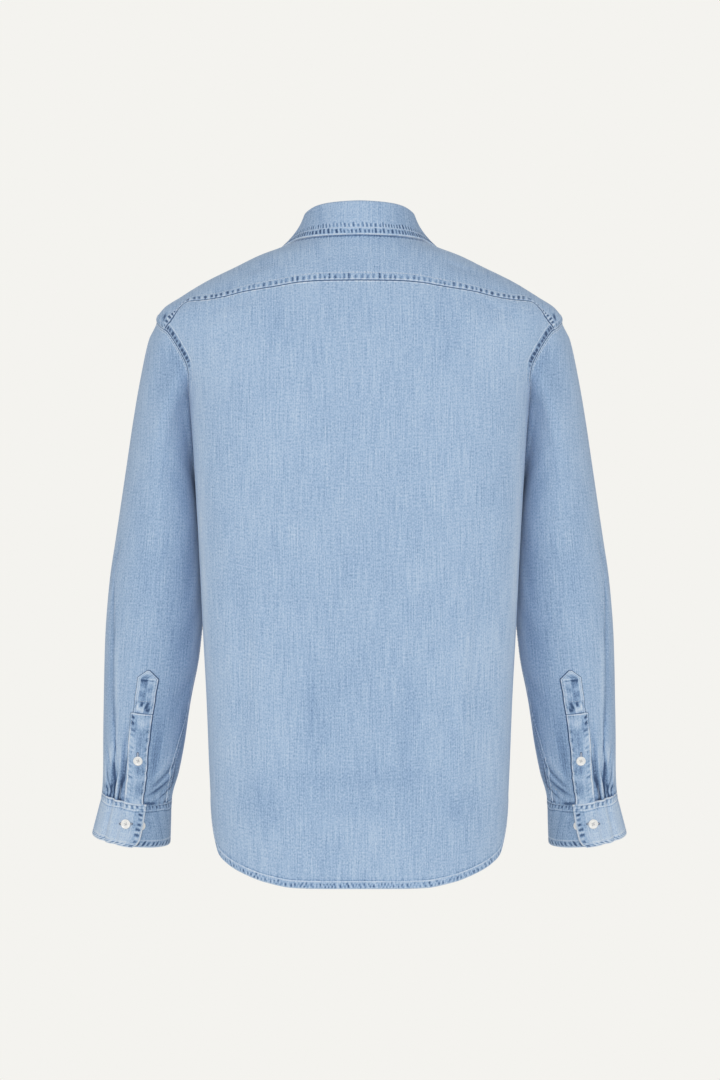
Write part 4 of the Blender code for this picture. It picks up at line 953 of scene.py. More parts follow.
front = {
    "lap": 0.016, "lapColumns": 25, "neckColumns": 41, "seamColumns": 101, "rows": 161, "fade": 5,
    "lapGap": 0.0006, "bandWall": 0.0012, "laidGap": 0.0004, "bandRows": 401, "bandColumns": 33,
    "topIn": 0.6, "sideIn": -0.2,
    # mm from the front edge of the panel and down from the neck, for the right and the left front
    "creases": {
        1: (
            (150, 180, 70, 130, 6, 10, -2.0), (168, 215, 80, 190, -5, 12, 1.6),
            (60, 250, 48, 420, 8, 15, -1.7), (110, 300, 96, 520, -8, 18, 1.8),
            (150, 380, 140, 560, 7, 14, -1.8), (40, 480, 60, 650, 5, 12, -1.4),
            (170, 300, 120, 330, 5, 9, -1.2), (90, 560, 150, 590, 6, 10, -1.1),
            (52, 110, 90, 90, 4, 9, -1.1),
        ),
        -1: (
            (152, 172, 78, 140, -5, 10, -1.9), (170, 225, 90, 200, 6, 12, 1.7),
            (66, 270, 58, 400, -7, 14, -1.8), (104, 320, 88, 560, 8, 18, 1.7),
            (146, 400, 150, 600, -6, 15, -1.7), (50, 500, 42, 640, -5, 12, -1.5),
            (166, 320, 112, 345, -5, 9, -1.3), (80, 590, 140, 560, -6, 10, -1.2),
            (56, 104, 96, 92, -4, 9, -1.0),
        ),
    },
    # mottling and painted shade patches, as on the back
    "mottleAndShade": (
        (120, 150, 40, 60, 0.1), (70, 320, 24, 80, -0.08), (130, 470, 30, 60, 0.12),
        (60, 600, 30, 50, -0.12),
    ),
    "puckers": {
        "hem": (31, 6.6, 0.8, 8.5, 0.75, 0.2, 0.4, 0.4, 1.0),
        "arm": (34, 6.6, 0.8, 9.5, 0.3, 0.2, 0.4, 0.4, 1.4),
    },
    "bandSides": (6.2, 0.18, (1.6, 6.2)), "bandEnds": (3.0, 0.0, (1.8,)), "bandStitches": 6.4,
    "bandPuckers": {"sides": (41, 7.0, 0.8, 6.2, 0.5, 0.2, 0.4, 0.26, 1.0)},
    "groove": ((-0.7, 0, 1.2),), "toneShare": 0.45, "creaseShading": 45,  # as on the back
}


def lapColumn(x, down):  # one line that runs straight down at this x
    neckHeight = body["neck"][-1][1]
    start = turnAtX(x, neckHeight, False)
    top = heightAtTurn("neck", start)
    bottom = heightAtTurn("hem", turnAtX(x, body["hem"][-1][1], False))
    heights = top + (bottom - top) * down
    line = np.stack([turnAtX(x, heights, False), heights], axis=1)
    line[0, 0] = start
    return line


def frontSurface():  # the lap's straight lines, then a patch between the neck, the armhole and the hem
    side = panelSide(frontArm)
    long = lineLength(side)
    zones = [(-0.001, 0.008, 2.0), (long - 0.009, long + 0.004, 2.5)]
    last = resample(side, graded(long, front["rows"], zones) / long)
    down = (last[:, 1] - last[0, 1]) / (last[-1, 1] - last[0, 1])
    lapPlaces = np.linspace(-front["lap"], front["lap"], front["lapColumns"])
    lap = np.stack([lapColumn(x, down) for x in lapPlaces])
    neckTurns = np.linspace(lap[-1, 0, 0], np.radians(body["yokeFrontTurn"]), front["neckColumns"])
    neckLine = np.stack([neckTurns, heightAtTurn("neck", neckTurns)], axis=1)
    seam = neckLine[-1] + (frontArm[0] - neckLine[-1]) * np.linspace(0, 1, front["seamColumns"])[:, None]
    top = np.concatenate([neckLine, seam[1:]])
    share = np.linspace(0, 1, len(top))
    firstTurn = lap[-1, -1, 0]
    turns = firstTurn + (sideTurn - firstTurn) * share
    bottom = np.stack([turns, heightAtTurn("hem", turns)], axis=1)
    bottom[0] = lap[-1, -1]
    return onTorso(np.concatenate([lap[:-1], coons(top, bottom, lap[-1], last, front["fade"], share)]))


frontPoints, frontNormals = frontSurface()


def frontPiece(side):  # that surface plus relief; the right front runs under the left one
    points = stretchEdges(frontPoints, frontNormals, ("top",), front["topIn"] * mm)
    points = stretchEdges(points, frontNormals, ("last",), front["sideIn"] * mm)
    down, fromBottom, across, fromSide = measures(points)
    alongHem, alongSide = across[:, -1:], down[-1:]
    armLength, lapWide = lineLength(frontArm), 2 * front["lap"]
    atArm = nearArmhole(alongSide, armLength)
    u, v = across, -points[..., 2]
    soft = creases(u, v, front["creases"][side]) * ease(down / 0.012) * ease(fromBottom / 0.02)
    soft = soft * ease(fromSide / 0.02) * ease((across - lapWide) / 0.03)
    places = {"hem": (alongHem, fromBottom, 1), "arm": (alongSide, fromSide, atArm)}
    lift, wearAndShade = puckered(front["puckers"], places, side)
    lift = lift + body["cloth"] / 2 + soft + mm * streaks(down, front["groove"])
    if side > 0:
        lift = lift - (body["cloth"] + front["lapGap"]) * ease((lapWide + 3 * mm - across) / (6 * mm))
    lift = lift + band(fromBottom, *back["hem"]) + atArm * band(fromSide, *back["arm"])
    # patches, plus painted shade and highlight in the creases
    wearAndShade = wearAndShade + patches(u, v, front["mottleAndShade"]) * front["toneShare"] + front["creaseShading"] * soft
    # painted shadow under the yoke's lapped edge
    wearAndShade = wearAndShade - 1.3 * bump(down - 1.2 * mm, 0.8 * mm)
    wearAndShade = wearAndShade + edgeTone(fromBottom, alongHem, 37, 0.8) + atArm * edgeTone(fromSide, alongSide, 38, 0.9)
    # painted shade where the side seam joins
    wearAndShade = wearAndShade - 0.5 * (1 - atArm) * bump(fromSide, 1.0 * mm)
    if side > 0:
        wearAndShade = wearAndShade + edgeTone(across, down, 39, 0.6)
    else:
        # painted shadow beside the button band's edge
        wearAndShade = wearAndShade - 0.8 * bump(across - lapWide - 0.6 * mm, 0.9 * mm)
    under = lift if side > 0 else body["cloth"] / 2 + soft
    part = clothPart(points, frontNormals, lift, stack(u, v), wearAndShade, under=under)
    lines = seamLines(part, fromBottom, back["hem"][2], 1, 2 if side > 0 else front["lapColumns"], -2)
    armRows = int(np.searchsorted(alongSide[0], armLength))
    lines += seamLines(part, fromSide, (1.7, back["arm"][2][1]), 0, 1, armRows)
    if side > 0:
        lines += seamLines(part, across, (2.0,), 0, 2, -2)
    return part, lines


def bandPiece():  # the band's own grid, finer down the lap, from the front's surface moved out
    down = np.linspace(0, 1, front["bandRows"])
    lap = np.stack([lapColumn(x, down) for x in front["lap"] * np.linspace(-1, 1, front["bandColumns"])])
    points, normals = onTorso(lap)
    down, fromBottom, across, fromLast = measures(points)
    fromEnds, fromSide = np.minimum(down, fromBottom), np.minimum(across, fromLast)
    lift, wearAndShade = puckered(front["bandPuckers"], {"sides": (down, fromSide, 1)})
    lift = lift + body["cloth"] / 2 + front["laidGap"] + front["bandWall"]
    lift = lift + band(fromSide, *front["bandSides"]) + band(fromEnds, *front["bandEnds"])
    wearAndShade = wearAndShade + edgeTone(fromSide, down, 42, 0.8) + edgeTone(fromEnds, across, 43, 0.6)
    wearAndShade = wearAndShade + 0.12 * ripple(down, 44, 0.03)
    part = clothPart(points, normals, lift, stack(across, down), wearAndShade, thickness=front["bandWall"] + 0.6 * mm)
    lines = seamLines(part, across, (front["bandStitches"],), 0, 1, -1)
    return part, lines + seamLines(part, fromLast, (front["bandStitches"],), 0, 1, -1)


for side, name in ((1, "right"), (-1, "left")):
    makePieces([(name + "Front", "front_" + name, bodyDenim, frontPiece(side))], side)
makePieces([("buttonBand", "front_placket", trimDenim, bandPiece())], -1)
print("fronts made")

# Sleeves

sleeve = {
    # the tilt is in degrees
    "stationColumns": ("outerX", "outerZ", "innerX", "innerZ", "middleY", "halfDepth", "tilt"),
    "stations": (
        (0.2313, -0.103, 0.1765, -0.302, 0.001, 0.07, 0),
        (0.2405, -0.123, 0.183, -0.2985, 0.003, 0.0695, 0),
        (0.251, -0.1681, 0.1848, -0.3035, 0.006, 0.069, 0),
        (0.2594, -0.2143, 0.1842, -0.315, 0.009, 0.068, 1),
        (0.2666, -0.2605, 0.183, -0.335, 0.012, 0.0665, 2),
        (0.2737, -0.3068, 0.182, -0.362, 0.0155, 0.0645, 3),
        (0.2809, -0.353, 0.1814, -0.395, 0.0195, 0.0625, 5),
        (0.288, -0.3992, 0.1814, -0.43, 0.024, 0.06, 7),
        (0.294, -0.4686, 0.1865, -0.484, 0.0335, 0.056, 9),
        (0.2963, -0.5379, 0.1975, -0.544, 0.043, 0.051, 10),
        (0.2975, -0.5841, 0.2045, -0.59, 0.05, 0.0475, 10),
        (0.2979, -0.618, 0.2112, -0.623, 0.055, 0.0435, 10),
        (0.2996, -0.646, 0.2197, -0.6553, 0.06, 0.0385, 10),
        (0.3116, -0.6958, 0.2222, -0.7071, 0.069, 0.04, 10),
    ),
    "columns": 192, "rows": 261, "fade": 2.2, "rollEnd": 1.0, "rollTarget": 1.5, "roll": 0.009,
    "rollRows": 33,
    "tuckedIn": 0.058,  # stations that its end reaches under the cuff
    # angle, first station, station of full depth, depth, width in degrees
    "folds": ((-47, 8.6, 11.2, 0.0032, 5.0), (-68, 10.2, 11.4, 0.003, 5.0)),
    # where the columns crowd near the cuff: angle, width in degrees, extra
    "crowds": ((-50, 16, 2.0), (-68, 10, 1.6), (-176, 8, 1.2), (176, 8, 1.2), (-148, 10, 0.8)),
    "crowdFrom": 5.0, "crowdOver": 4.5,  # stations
    # pleats and gathers into the cuff: angle, height where they start, depth, width in degrees, lip
    "pleats": (
        (-24, -0.634, 0.0014, 1.9, 0.0007), (-34, -0.624, 0.002, 2.0, 0.001),
        (-42, -0.634, 0.0014, 1.9, 0.0009), (-49, -0.602, 0.0034, 2.2, 0.0013),
        (-62, -0.61, 0.0034, 2.2, 0.0014), (-67, -0.6, 0.0014, 2.4, 0.0), (-113, -0.64, 0.0012, 2.4, 0.0),
        (-124, -0.636, 0.0012, 2.6, 0.0), (-136, -0.634, 0.0012, 2.8, 0.0), (-148, -0.63, 0.0012, 3.2, 0.0),
        (-160, -0.63, 0.0014, 3.0, 0.0), (-172, -0.62, 0.0012, 3.0, 0.0), (28, -0.615, 0.0018, 3.2, 0.0008),
        (52, -0.6, 0.0022, 3.6, 0.001), (76, -0.616, 0.0016, 3.0, 0.0008),
        (101, -0.604, 0.0022, 3.6, 0.001), (128, -0.612, 0.0018, 3.2, 0.0008),
        (154, -0.606, 0.002, 3.4, 0.001), (5, -0.622, 0.0014, 3.0, 0.0006),
    ),
    "pleatEnd": -0.652,
    # angle in degrees, height in mm to angle, height, bow, width, depth
    "creases": (
        (-34, 350, -24, 384, 1, 4.0, -1.2), (-25, 374, -37, 476, 1, 3.4, -1.9),
        (-36, 452, -41, 560, 0.5, 4.4, -1.5), (-41, 540, -60, 640, 2, 3.2, -2.0),
        (-46, 470, -53, 570, 1, 6.0, 0.6), (-48, 570, -57, 650, 1, 3.4, 1.5),
        (-28, 586, -43, 626, 1, 2.6, -1.3), (-45, 612, -40, 654, -0.5, 2.6, -1.8),
        (-20, 600, -33, 644, 1, 3.0, 1.4), (-36, 612, -44, 652, 0.5, 2.6, 0.7),
        (-56, 596, -48, 654, -0.5, 2.4, -2.0), (-68, 560, -62, 652, 0.5, 2.6, -2.2),
        (-150, 330, -128, 430, -6, 8, -1.2), (-168, 420, -132, 500, 5, 8, -1.1),
        (-170, 500, -128, 560, 4, 7, -1.0), (-107, 646, -148, 610, 2, 3.0, -1.3),
        (-110, 632, -138, 596, 2, 4.0, 0.9), (-122, 650, -156, 626, 2, 2.8, -1.3),
        (-118, 560, -104, 640, -2, 5.0, -0.9), (-24, 106, -58, 118, 1.5, 3, -1.4),
        (-20, 118, -60, 140, -2, 4, 1.0), (-70, 150, -112, 196, 4, 7, -1.0),
        (-40, 130, -74, 220, 4, 9, -0.9), (-82, 240, -126, 300, 5, 10, -0.9),
        (-60, 300, -96, 420, 6, 13, -0.8), (40, 420, 120, 470, 6, 8, -2.4),
        (36, 462, 118, 498, -5, 7, -2.2), (60, 380, 140, 430, 5, 8, -1.8), (50, 500, 110, 520, 4, 6, -1.6),
        (60, 150, 130, 250, 8, 12, -2.2), (90, 130, 150, 210, -6, 10, -1.8),
        (30, 180, 96, 330, 8, 14, -1.6), (140, 290, 110, 400, 6, 10, -1.6), (16, 360, 30, 600, -4, 8, -1.4),
        (80, 540, 96, 640, 3, 6, -1.4), (124, 520, 150, 630, -4, 7, -1.5),
    ),
    # the same, with a tone in thousandths in place of the depth: painted shade in the folds and pleats, and a
    # few painted highlights on their ridges
    "foldShading": (
        (-38, 440, -43, 530, 0.5, 3.4, -220), (-43, 520, -49, 590, 0.5, 2.6, -480),
        (-49, 578, -45, 615, 0.4, 1.7, -900), (-44, 607, -47, 637, 0.3, 1.3, -1300),
        (-47, 629, -50, 657, 0.2, 1.3, -1500), (-71, 600, -66, 634, 0.4, 1.4, -900),
        (-66, 626, -60, 657, 0.4, 1.4, -1400), (-29, 612, -38, 639, 0.4, 1.2, -800),
        (-38, 633, -48, 653, 0.3, 1.1, -1000), (-22, 630, -32, 656, 0.3, 1.1, -900),
        (-16, 640, -20, 656, 0.2, 1.0, -600), (-30, 634, -37, 649, 0.2, 1.1, -1500),
        (-37, 641, -33, 656, 0.2, 1.0, -1300), (-43, 636, -41, 656, 0.2, 1.0, -1300),
        (-33, 642, -40, 656, 0.2, 0.9, 800), (-45, 470, -50, 552, 0.5, 3.4, 120),
        (-56, 590, -56, 648, 0.3, 3.0, 480), (-38, 588, -39, 624, 0.3, 2.0, 420),
        (-33, 628, -43, 650, 0.2, 0.9, 450), (-106, 650, -152, 622, 2, 1.5, -800),
        (-108, 640, -152, 602, 2, 2.4, -450), (-124, 656, -160, 634, 1, 1.3, -800),
        (-110, 645, -152, 612, 2, 1.6, 380), (-116, 653, -156, 628, 1.5, 1.2, 420),
        (-150, 600, -160, 655, 1, 1.6, -500),
    ),
    # angle in degrees, height in mm, their spreads, tone: mottling and painted shade, including the shadow
    # beside the placket, and painted light that lifts the crevice beside the body
    "mottleAndShade": (
        (-120, 300, 22, 160, -0.12), (-120, 500, 20, 90, -0.1), (-160, 560, 12, 70, -0.4),
        (-30, 480, 8, 110, -0.1), (-52, 560, 9, 80, 0.14), (-40, 628, 14, 16, -0.3),
        (-60, 628, 14, 16, -0.22), (-150, 628, 24, 14, -0.35), (-36, 200, 14, 80, 0.08),
        (-72, 138, 30, 34, -0.55), (-110, 590, 10, 46, -0.45), (-20, 600, 8, 60, -0.12),
        (-166, 430, 18, 120, 0.8), (-166, 300, 14, 70, 0.4), (-158, 590, 15, 44, -0.6),
    ),
    # the underarm seam's shift towards the back, in degrees, at each height
    "seamShift": (
        (-0.75, 22), (-0.655, 22), (-0.619, 31), (-0.585, 23), (-0.553, 10), (-0.519, 6), (-0.486, -1),
        (-0.44, -1), (-0.1, -1),
    ),
    "puckers": {"seam": (51, 7.2, 0.6, 7.2, 0.4, 0.2, 0.4, 0.25, 0.7)},
    # pale on the fell's raised edge, partly wear and partly painted highlight, and painted shadow beside it;
    # painted highlights and shade along the armhole seam's stitched ridges
    "fellEdgeShading": ((1.1, 7.2, 0.8), (-0.5, 8.5, 0.7)),
    "armholeSeamShading": ((0.75, 2.6, 0.5), (0.55, 4.8, 0.5), (-0.75, 3.7, 0.5)),
    "degree": 0.9,  # mm of cloth for a degree, about
    "grainFrom": 3,  # the station above which the grain's middle line runs straight up
    "grainTurn": 0.054,  # metres of grain for a radian
    "grooves": ((-0.4, 0, 1.6), (1.0, 9.0, 7.0)),  # beside the armhole: height, place and width in mm
    # painted shade and highlight for creases, pleat valleys and pleat lips
    "toneShare": 0.6, "creaseShading": 120, "pleatShading": 110, "lipHighlight": 120,
}
stations = np.array(sleeve["stations"])
cuffTop, cuffEnd = 12, 13  # stations


def stationValue(name, station):  # one column of the stations, anywhere along the sleeve
    return smoothCurve(np.arange(len(stations)), stations[:, sleeve["stationColumns"].index(name)], station)


def foldDepth(angle, station):  # troughs across the angle, ramped along the sleeve
    depth = np.zeros(np.broadcast(angle, station).shape)
    for place, start, full, deep, width in sleeve["folds"]:
        depth += deep * ease((station - start) / (full - start)) * bump(np.degrees(angle) - place, width)
    return depth


def tube(angle, station, lift=0.0):  # an oval through an outer and an inner point; the front is positive
    outer = stack(stationValue("outerX", station), 0.0, stationValue("outerZ", station))
    inner = stack(stationValue("innerX", station), 0.0, stationValue("innerZ", station))
    middle = (outer + inner) / 2
    middle[..., 1] = stationValue("middleY", station)
    tilt = np.radians(stationValue("tilt", station))
    forward = stack(0.0 * tilt, np.cos(tilt), np.sin(tilt))
    reach = lift - foldDepth(angle, station)
    width = (np.linalg.norm(outer - inner, axis=-1) / 2 + reach) * np.cos(angle)
    depth = (stationValue("halfDepth", station) + reach) * np.sin(angle)
    return middle + unit(outer - inner) * width[..., None] + forward * depth[..., None]


def tubeNormal(angle, station):  # across the change round and the change down
    along = tube(angle + 1e-3, station) - tube(angle - 1e-3, station)
    down = tube(angle, np.minimum(station + 1e-3, cuffEnd)) - tube(angle, station - 1e-3)
    normal = unit(np.cross(down, along))
    outwards = tube(angle, station) - tube(angle + np.pi, station)
    return normal * np.sign((outwards * normal).sum())


def armholeRing(count):
    # the armhole once round from the underarm, evenly: points, directions and sleeve angles
    line = np.concatenate([wholeArmhole[underarm:-1], wholeArmhole[: underarm + 1]])
    points, normals = onTorso(resample(line, np.linspace(0, 1, count + 1))[:-1])
    place = runLength(ringed(points))
    total, tip = place[-1], place[np.argmax(points[:, 2])]
    place = place[:-1]
    angle = np.where(place <= tip, np.pi * (1 - place / tip), -np.pi * (place - tip) / (total - tip))
    tangent = unit(np.roll(points, -1, axis=0) - np.roll(points, 1, axis=0))
    into = unit(np.cross(tangent, normals))
    into *= np.sign((into * (points.mean(axis=0) - points)).sum(-1, keepdims=True))
    return points, normals, into, angle


def crowded(angle):  # draws the columns together round the pleats
    fine = np.linspace(-np.pi, np.pi, 1441)
    density = np.ones_like(fine)
    for place, width, extra in sleeve["crowds"]:
        density += extra * bump(np.degrees(fine) - place, width)
    share = np.cumsum(density) - density[0]
    return np.interp((angle + np.pi) / (2 * np.pi), share / share[-1], fine)


def pleatLift(degrees, height):  # troughs that deepen into the cuff, each with a raised lip on its outer side
    lift = np.zeros(np.broadcast(degrees, height).shape)
    for place, start, depth, width, lip in sleeve["pleats"]:
        ramp = ease((start - height) / (start - sleeve["pleatEnd"]))
        lift -= depth * ramp * bump(degrees - place, width * (1.5 - 0.5 * ramp))
        lift += lip * ramp * bump(degrees - place - 1.7 * width, width)
    return lift


def sleeveMapping(points):
    # the cloth's grain: the turn about a middle line that changes with height, and the height
    rows = dict(zip(sleeve["stationColumns"], stations[sleeve["grainFrom"] :].T))
    level = -(rows["outerZ"] + rows["innerZ"]) / 2
    middle, half = (rows["outerX"] + rows["innerX"]) / 2, (rows["outerX"] - rows["innerX"]) / 2
    shape = (middle, half, rows["middleY"], rows["halfDepth"])
    middleX, halfWidth, middleY, depth = (np.interp(-points[..., 2], level, values) for values in shape)
    x, y = (points[..., 0] - middleX) / halfWidth, (points[..., 1] - middleY) / depth
    turn = np.unwrap(np.arctan2(y, x), axis=0)
    turn += 2 * np.pi * (turn[:1] < 0)
    return stack(np.concatenate([turn, turn[:1] - 2 * np.pi]) * sleeve["grainTurn"], -ringed(points)[..., 2])


def sleeveRings():
    # a cubic rolls out of the armhole onto the tube, whose ovals fade from the armhole's outline: points
    # and angles
    start, startNormals, into, angle = armholeRing(sleeve["columns"])
    outline = start - tube(angle, np.zeros_like(angle))
    nearCuff = crowded(angle)

    def ring(station):
        turned = angle + (nearCuff - angle) * ease((station - sleeve["crowdFrom"]) / sleeve["crowdOver"])
        fading = math.exp(-((station / sleeve["fade"]) ** 2))
        return tube(turned, np.full_like(angle, station)) + outline * fading, turned

    rolled, _ = ring(sleeve["rollEnd"])
    arrive = unit(ring(sleeve["rollTarget"])[0] - start)
    leave, turnIn = start + into * sleeve["roll"], rolled - arrive * sleeve["roll"]
    rings = [(start - into * 1.2 * mm, angle)]
    for part in graded(1, sleeve["rollRows"], [(-0.02, 0.3, 1.2)])[1:]:
        rest = 1 - part
        curve = rest**3 * start + 3 * rest**2 * part * leave + 3 * rest * part**2 * turnIn + part**3 * rolled
        rings.append((curve, angle))
    fine = np.linspace(sleeve["rollEnd"], cuffTop, 600)
    length = runLength(np.stack([stationValue("outerX", fine), stationValue("outerZ", fine)], axis=1))
    long = length[-1]
    at = graded(long, sleeve["rows"] - sleeve["rollRows"], [(long - 0.03, long + 0.01, 1.2)])[1:]
    rings += [ring(station) for station in (*np.interp(at, length, fine), cuffTop + sleeve["tuckedIn"])]
    points, angles = (np.stack(rows, axis=1) for rows in zip(*rings))
    return points, angles, startNormals


def inCloth(rows):  # the same creases, with mm of cloth in place of degrees
    size = sleeve["degree"]
    return [(fromU * size, fromV, toU * size, *rest) for fromU, fromV, toU, *rest in rows]


def sleevePiece():  # the rings plus relief: creases, pleats and the underarm's felled seam
    points, angles, startNormals = sleeveRings()
    normals = -gridNormals(points, True)
    probe = sleeve["rollRows"] + 5
    normals *= np.sign(((points[:, probe] - points[:, probe].mean(axis=0)) * normals[:, probe]).sum())
    normals[:, 0] = startNormals
    degrees, height = np.degrees(angles), points[..., 2]
    down, fromCuff, _, _ = measures(points)
    u, v = degrees * sleeve["degree"] * mm, -height
    underPlacket = between(degrees, -106, -70, 3) * ease((-0.494 - height) / 0.006)
    soft = creases(u, v, inCloth(sleeve["creases"])) * ease(down / 0.012) * (1 - underPlacket)
    pleats = pleatLift(degrees, height) * (1 - underPlacket)
    shift = np.array(sleeve["seamShift"])
    # the way back from the underarm seam
    fell = (180 + degrees - smoothCurve(shift[:, 0], shift[:, 1], height)) * sleeve["degree"] * mm
    behind = (degrees < 0) * ease((fell + 0.4 * mm) / (0.8 * mm))
    lift, wearAndShade = puckered(sleeve["puckers"], {"seam": (down, fell, behind * ease(down / 0.01))})
    lift = lift + body["cloth"] / 2 + soft + pleats + 0.4 * mm * ease((7.5 * mm - fell) / (1.2 * mm)) * behind
    lift = lift - 0.3 * mm * bump(fell, 0.8 * mm) + mm * streaks(down, sleeve["grooves"])
    lift = lift - 1.2 * mm * ease((2.6 * mm - fromCuff) / (2.2 * mm))
    # mottling and painted shade and light patches, painted fold shading, and painted shade and highlight in
    # creases, pleats and lips
    wearAndShade = wearAndShade + patches(degrees * mm, v, sleeve["mottleAndShade"]) * sleeve["toneShare"]
    wearAndShade = wearAndShade + creases(u, v, inCloth(sleeve["foldShading"]))
    # painted shade in crease troughs and painted highlight on their ridges, stronger near the cuff
    wearAndShade = wearAndShade + sleeve["creaseShading"] * soft * (1 + 1.1 * ease((-0.56 - height) / 0.05))
    wearAndShade = wearAndShade + sleeve["pleatShading"] * np.minimum(pleats, 0)
    wearAndShade = wearAndShade + sleeve["lipHighlight"] * np.maximum(pleats, 0) + behind * streaks(fell, sleeve["fellEdgeShading"])
    wearAndShade = wearAndShade + 0.4 * bump(fell, 0.9 * mm)
    shown = 0.25 + 0.75 * ease((height + 0.172) / 0.03)
    # painted shade where the sleeve meets the armhole, then painted highlights and shade along the armhole
    # seam
    wearAndShade = wearAndShade - 1.3 * bump(down - 1.4 * mm, 0.6 * mm) + shown * streaks(down, sleeve["armholeSeamShading"])
    uneven = 0.7 + 0.5 * ripple(degrees[:, :1], 52, 7.0)
    # painted shadow just above the cuff's edge
    wearAndShade = wearAndShade - 0.8 * bump(fromCuff - 3.0 * mm, 2.0 * mm) * uneven
    part = clothPart(points, normals, lift, sleeveMapping(points), wearAndShade, closed=True, under=lift)
    half = np.argmin(np.abs(angles[:, 0]))
    backHalf = {"outer": part["outer"][half:], "normals": normals[half:]}
    whole = {"outer": ringed(part["outer"]), "normals": ringed(normals)}
    lines = seamLines(backHalf, fell[half:], (1.6, 6.6), 0, 3, -3)
    return part, lines + seamLines(whole, ringed(down), (3.6,), 1)


# Cuffs

cuff = {
    "columns": 213, "rows": 61, "wall": 0.0022, "edgeAngle": -108,
    # angle from the end on top, distance from the sleeve's oval
    "lap": (
        (0, 0.0034), (12, 0.0032), (24, 0.0026), (45, 0.0015), (80, 0.0), (285, 0.0), (330, -0.0014),
        (360, -0.0022), (405, -0.0014),
    ),
    # share of the way down, degrees that the top end draws back
    "corner": (
        (0.0, 0.0), (0.25, 1.0), (0.6, 2.4), (0.8, 4.0), (0.92, 7.4), (1.0, 14.0),
    ),
    "creases": (
        (6, 9, 40, 13, 2, 3, -0.5), (30, 7, 80, 11, -2, 3, 0.5), (60, 14, 120, 9, 3, 4, -0.5),
        (150, 12, 210, 15, 3, 4, -0.4), (20, 34, 60, 40, 3, 5, 0.4),
    ),
    "edge": (50, 0.0, (1.7,)), "inner": ((-0.22, 7.8, 0.7),),  # the inner rows' pull
    "puckers": {
        "top": (61, 4.8, 1.6, 7.4, 0.35, 0.25, 0.4, 0.34, 1.15),
        "bottom": (62, 5.4, 1.2, 7.8, 0.5, 0.2, 0.4, 0.34, 1.45),
        "ends": (63, 6.8, 1.8, 8.8, 0.2, 0.3, 0.4, 0.3, 1.3),
    },
    # painted highlight and shadow along the stitched ridge below the top
    "topStepShading": ((0.65, 8.0, 0.5), (-0.75, 9.1, 0.6)),
    "paleTo": 0.09, "paleOver": 0.035, "pale": 0.33, "dark": -0.16,  # the end on top is paler
    "creaseShading": 120,
}


def lapLift(angle):  # how far the cuff stands off the sleeve's oval
    table = np.array(cuff["lap"])
    return smoothCurve(table[:, 0], table[:, 1], angle)


def cuffPiece():  # a strip once round and over its own end, whose top end has a rounded lower corner
    down = graded(1, cuff["rows"], [(-0.02, 0.08, 1.0), (0.9, 1.02, 1.0)])
    columns = graded(1, cuff["columns"], [(-0.01, 0.1, 1.0)])
    corner = np.array(cuff["corner"])
    drawn = smoothCurve(corner[:, 0], corner[:, 1], down)[None]
    last = cuff["lap"][-1][0]
    turned = drawn + (last - drawn) * columns[:, None]
    angle = np.radians(cuff["edgeAngle"] + turned)
    points = tube(angle, cuffTop + (cuffEnd - cuffTop) * down + 0 * angle, lapLift(turned))
    normals = gridNormals(points, False)
    normals *= np.sign(((points - points.mean(axis=0)) * normals).sum())
    run, fromBottom, across, fromEnd = measures(points)
    alongTop = across[:, :1]
    edge = np.minimum(np.minimum(run, fromBottom), np.minimum(across, fromEnd))
    soft = creases(across, run, cuff["creases"])
    lift, wearAndShade = puckered(cuff["puckers"], {
        "top": (alongTop, run, 1), "bottom": (across[:, -1:], fromBottom, 1), "ends": (run[:1], across, 1),
    })
    inner = streaks(run, cuff["inner"]) + streaks(fromBottom, cuff["inner"])
    lift = lift + cuff["wall"] / 2 + soft + band(edge, *cuff["edge"]) + mm * inner
    wave = 1.2 * mm * ripple(alongTop, 65, 0.012)
    # painted shade and highlight in the creases, and the edge worn pale
    wearAndShade = wearAndShade + cuff["creaseShading"] * soft + edgeTone(edge, alongTop, 64, 0.9)
    wearAndShade = wearAndShade + streaks(run - wave, cuff["topStepShading"])
    # a pale line above the bottom, and a painted shadow just under the top fold
    wearAndShade = wearAndShade + 0.45 * bump(fromBottom - 8.5 * mm, 0.7 * mm) - 0.5 * bump(run - 2.2 * mm, 0.6 * mm)
    beside = turned - last - drawn + 0.6  # degrees from the edge on top, on the end under it
    # painted shadow cast by the lapped end onto the end under it
    wearAndShade = wearAndShade - 1.9 * bump(np.minimum(beside, 0), 1.0) * bump(np.maximum(beside, 0), 2.6) * (turned > 270)
    blotch = ease((run - 7 * mm) / (4 * mm)) * (0.6 + 0.6 * ripple(run, 68, 0.006))
    wearAndShade = wearAndShade - 0.45 * bump(across - 7.8 * mm, 5.2 * mm) * blotch
    onTop = ease((cuff["paleTo"] - across) / cuff["paleOver"])
    wearAndShade = wearAndShade + cuff["pale"] * onTop + cuff["dark"] * (1 - onTop)
    wearAndShade = wearAndShade + 0.22 * ripple(across, 66, 0.01) * ripple(run, 67, 0.008)
    part = clothPart(points, normals, lift, stack(across, run), wearAndShade, thickness=cuff["wall"] - 0.2 * mm)
    edges = ((run, 1), (fromBottom, 1), (across, 0))
    lines = [seamLines(part, measure, (1.8,), axis, 2, -2) for measure, axis in edges]
    return part, sum(lines, []) + seamLines(part, fromBottom, (8.0,), 1, 4, -4)


# Sleeve plackets

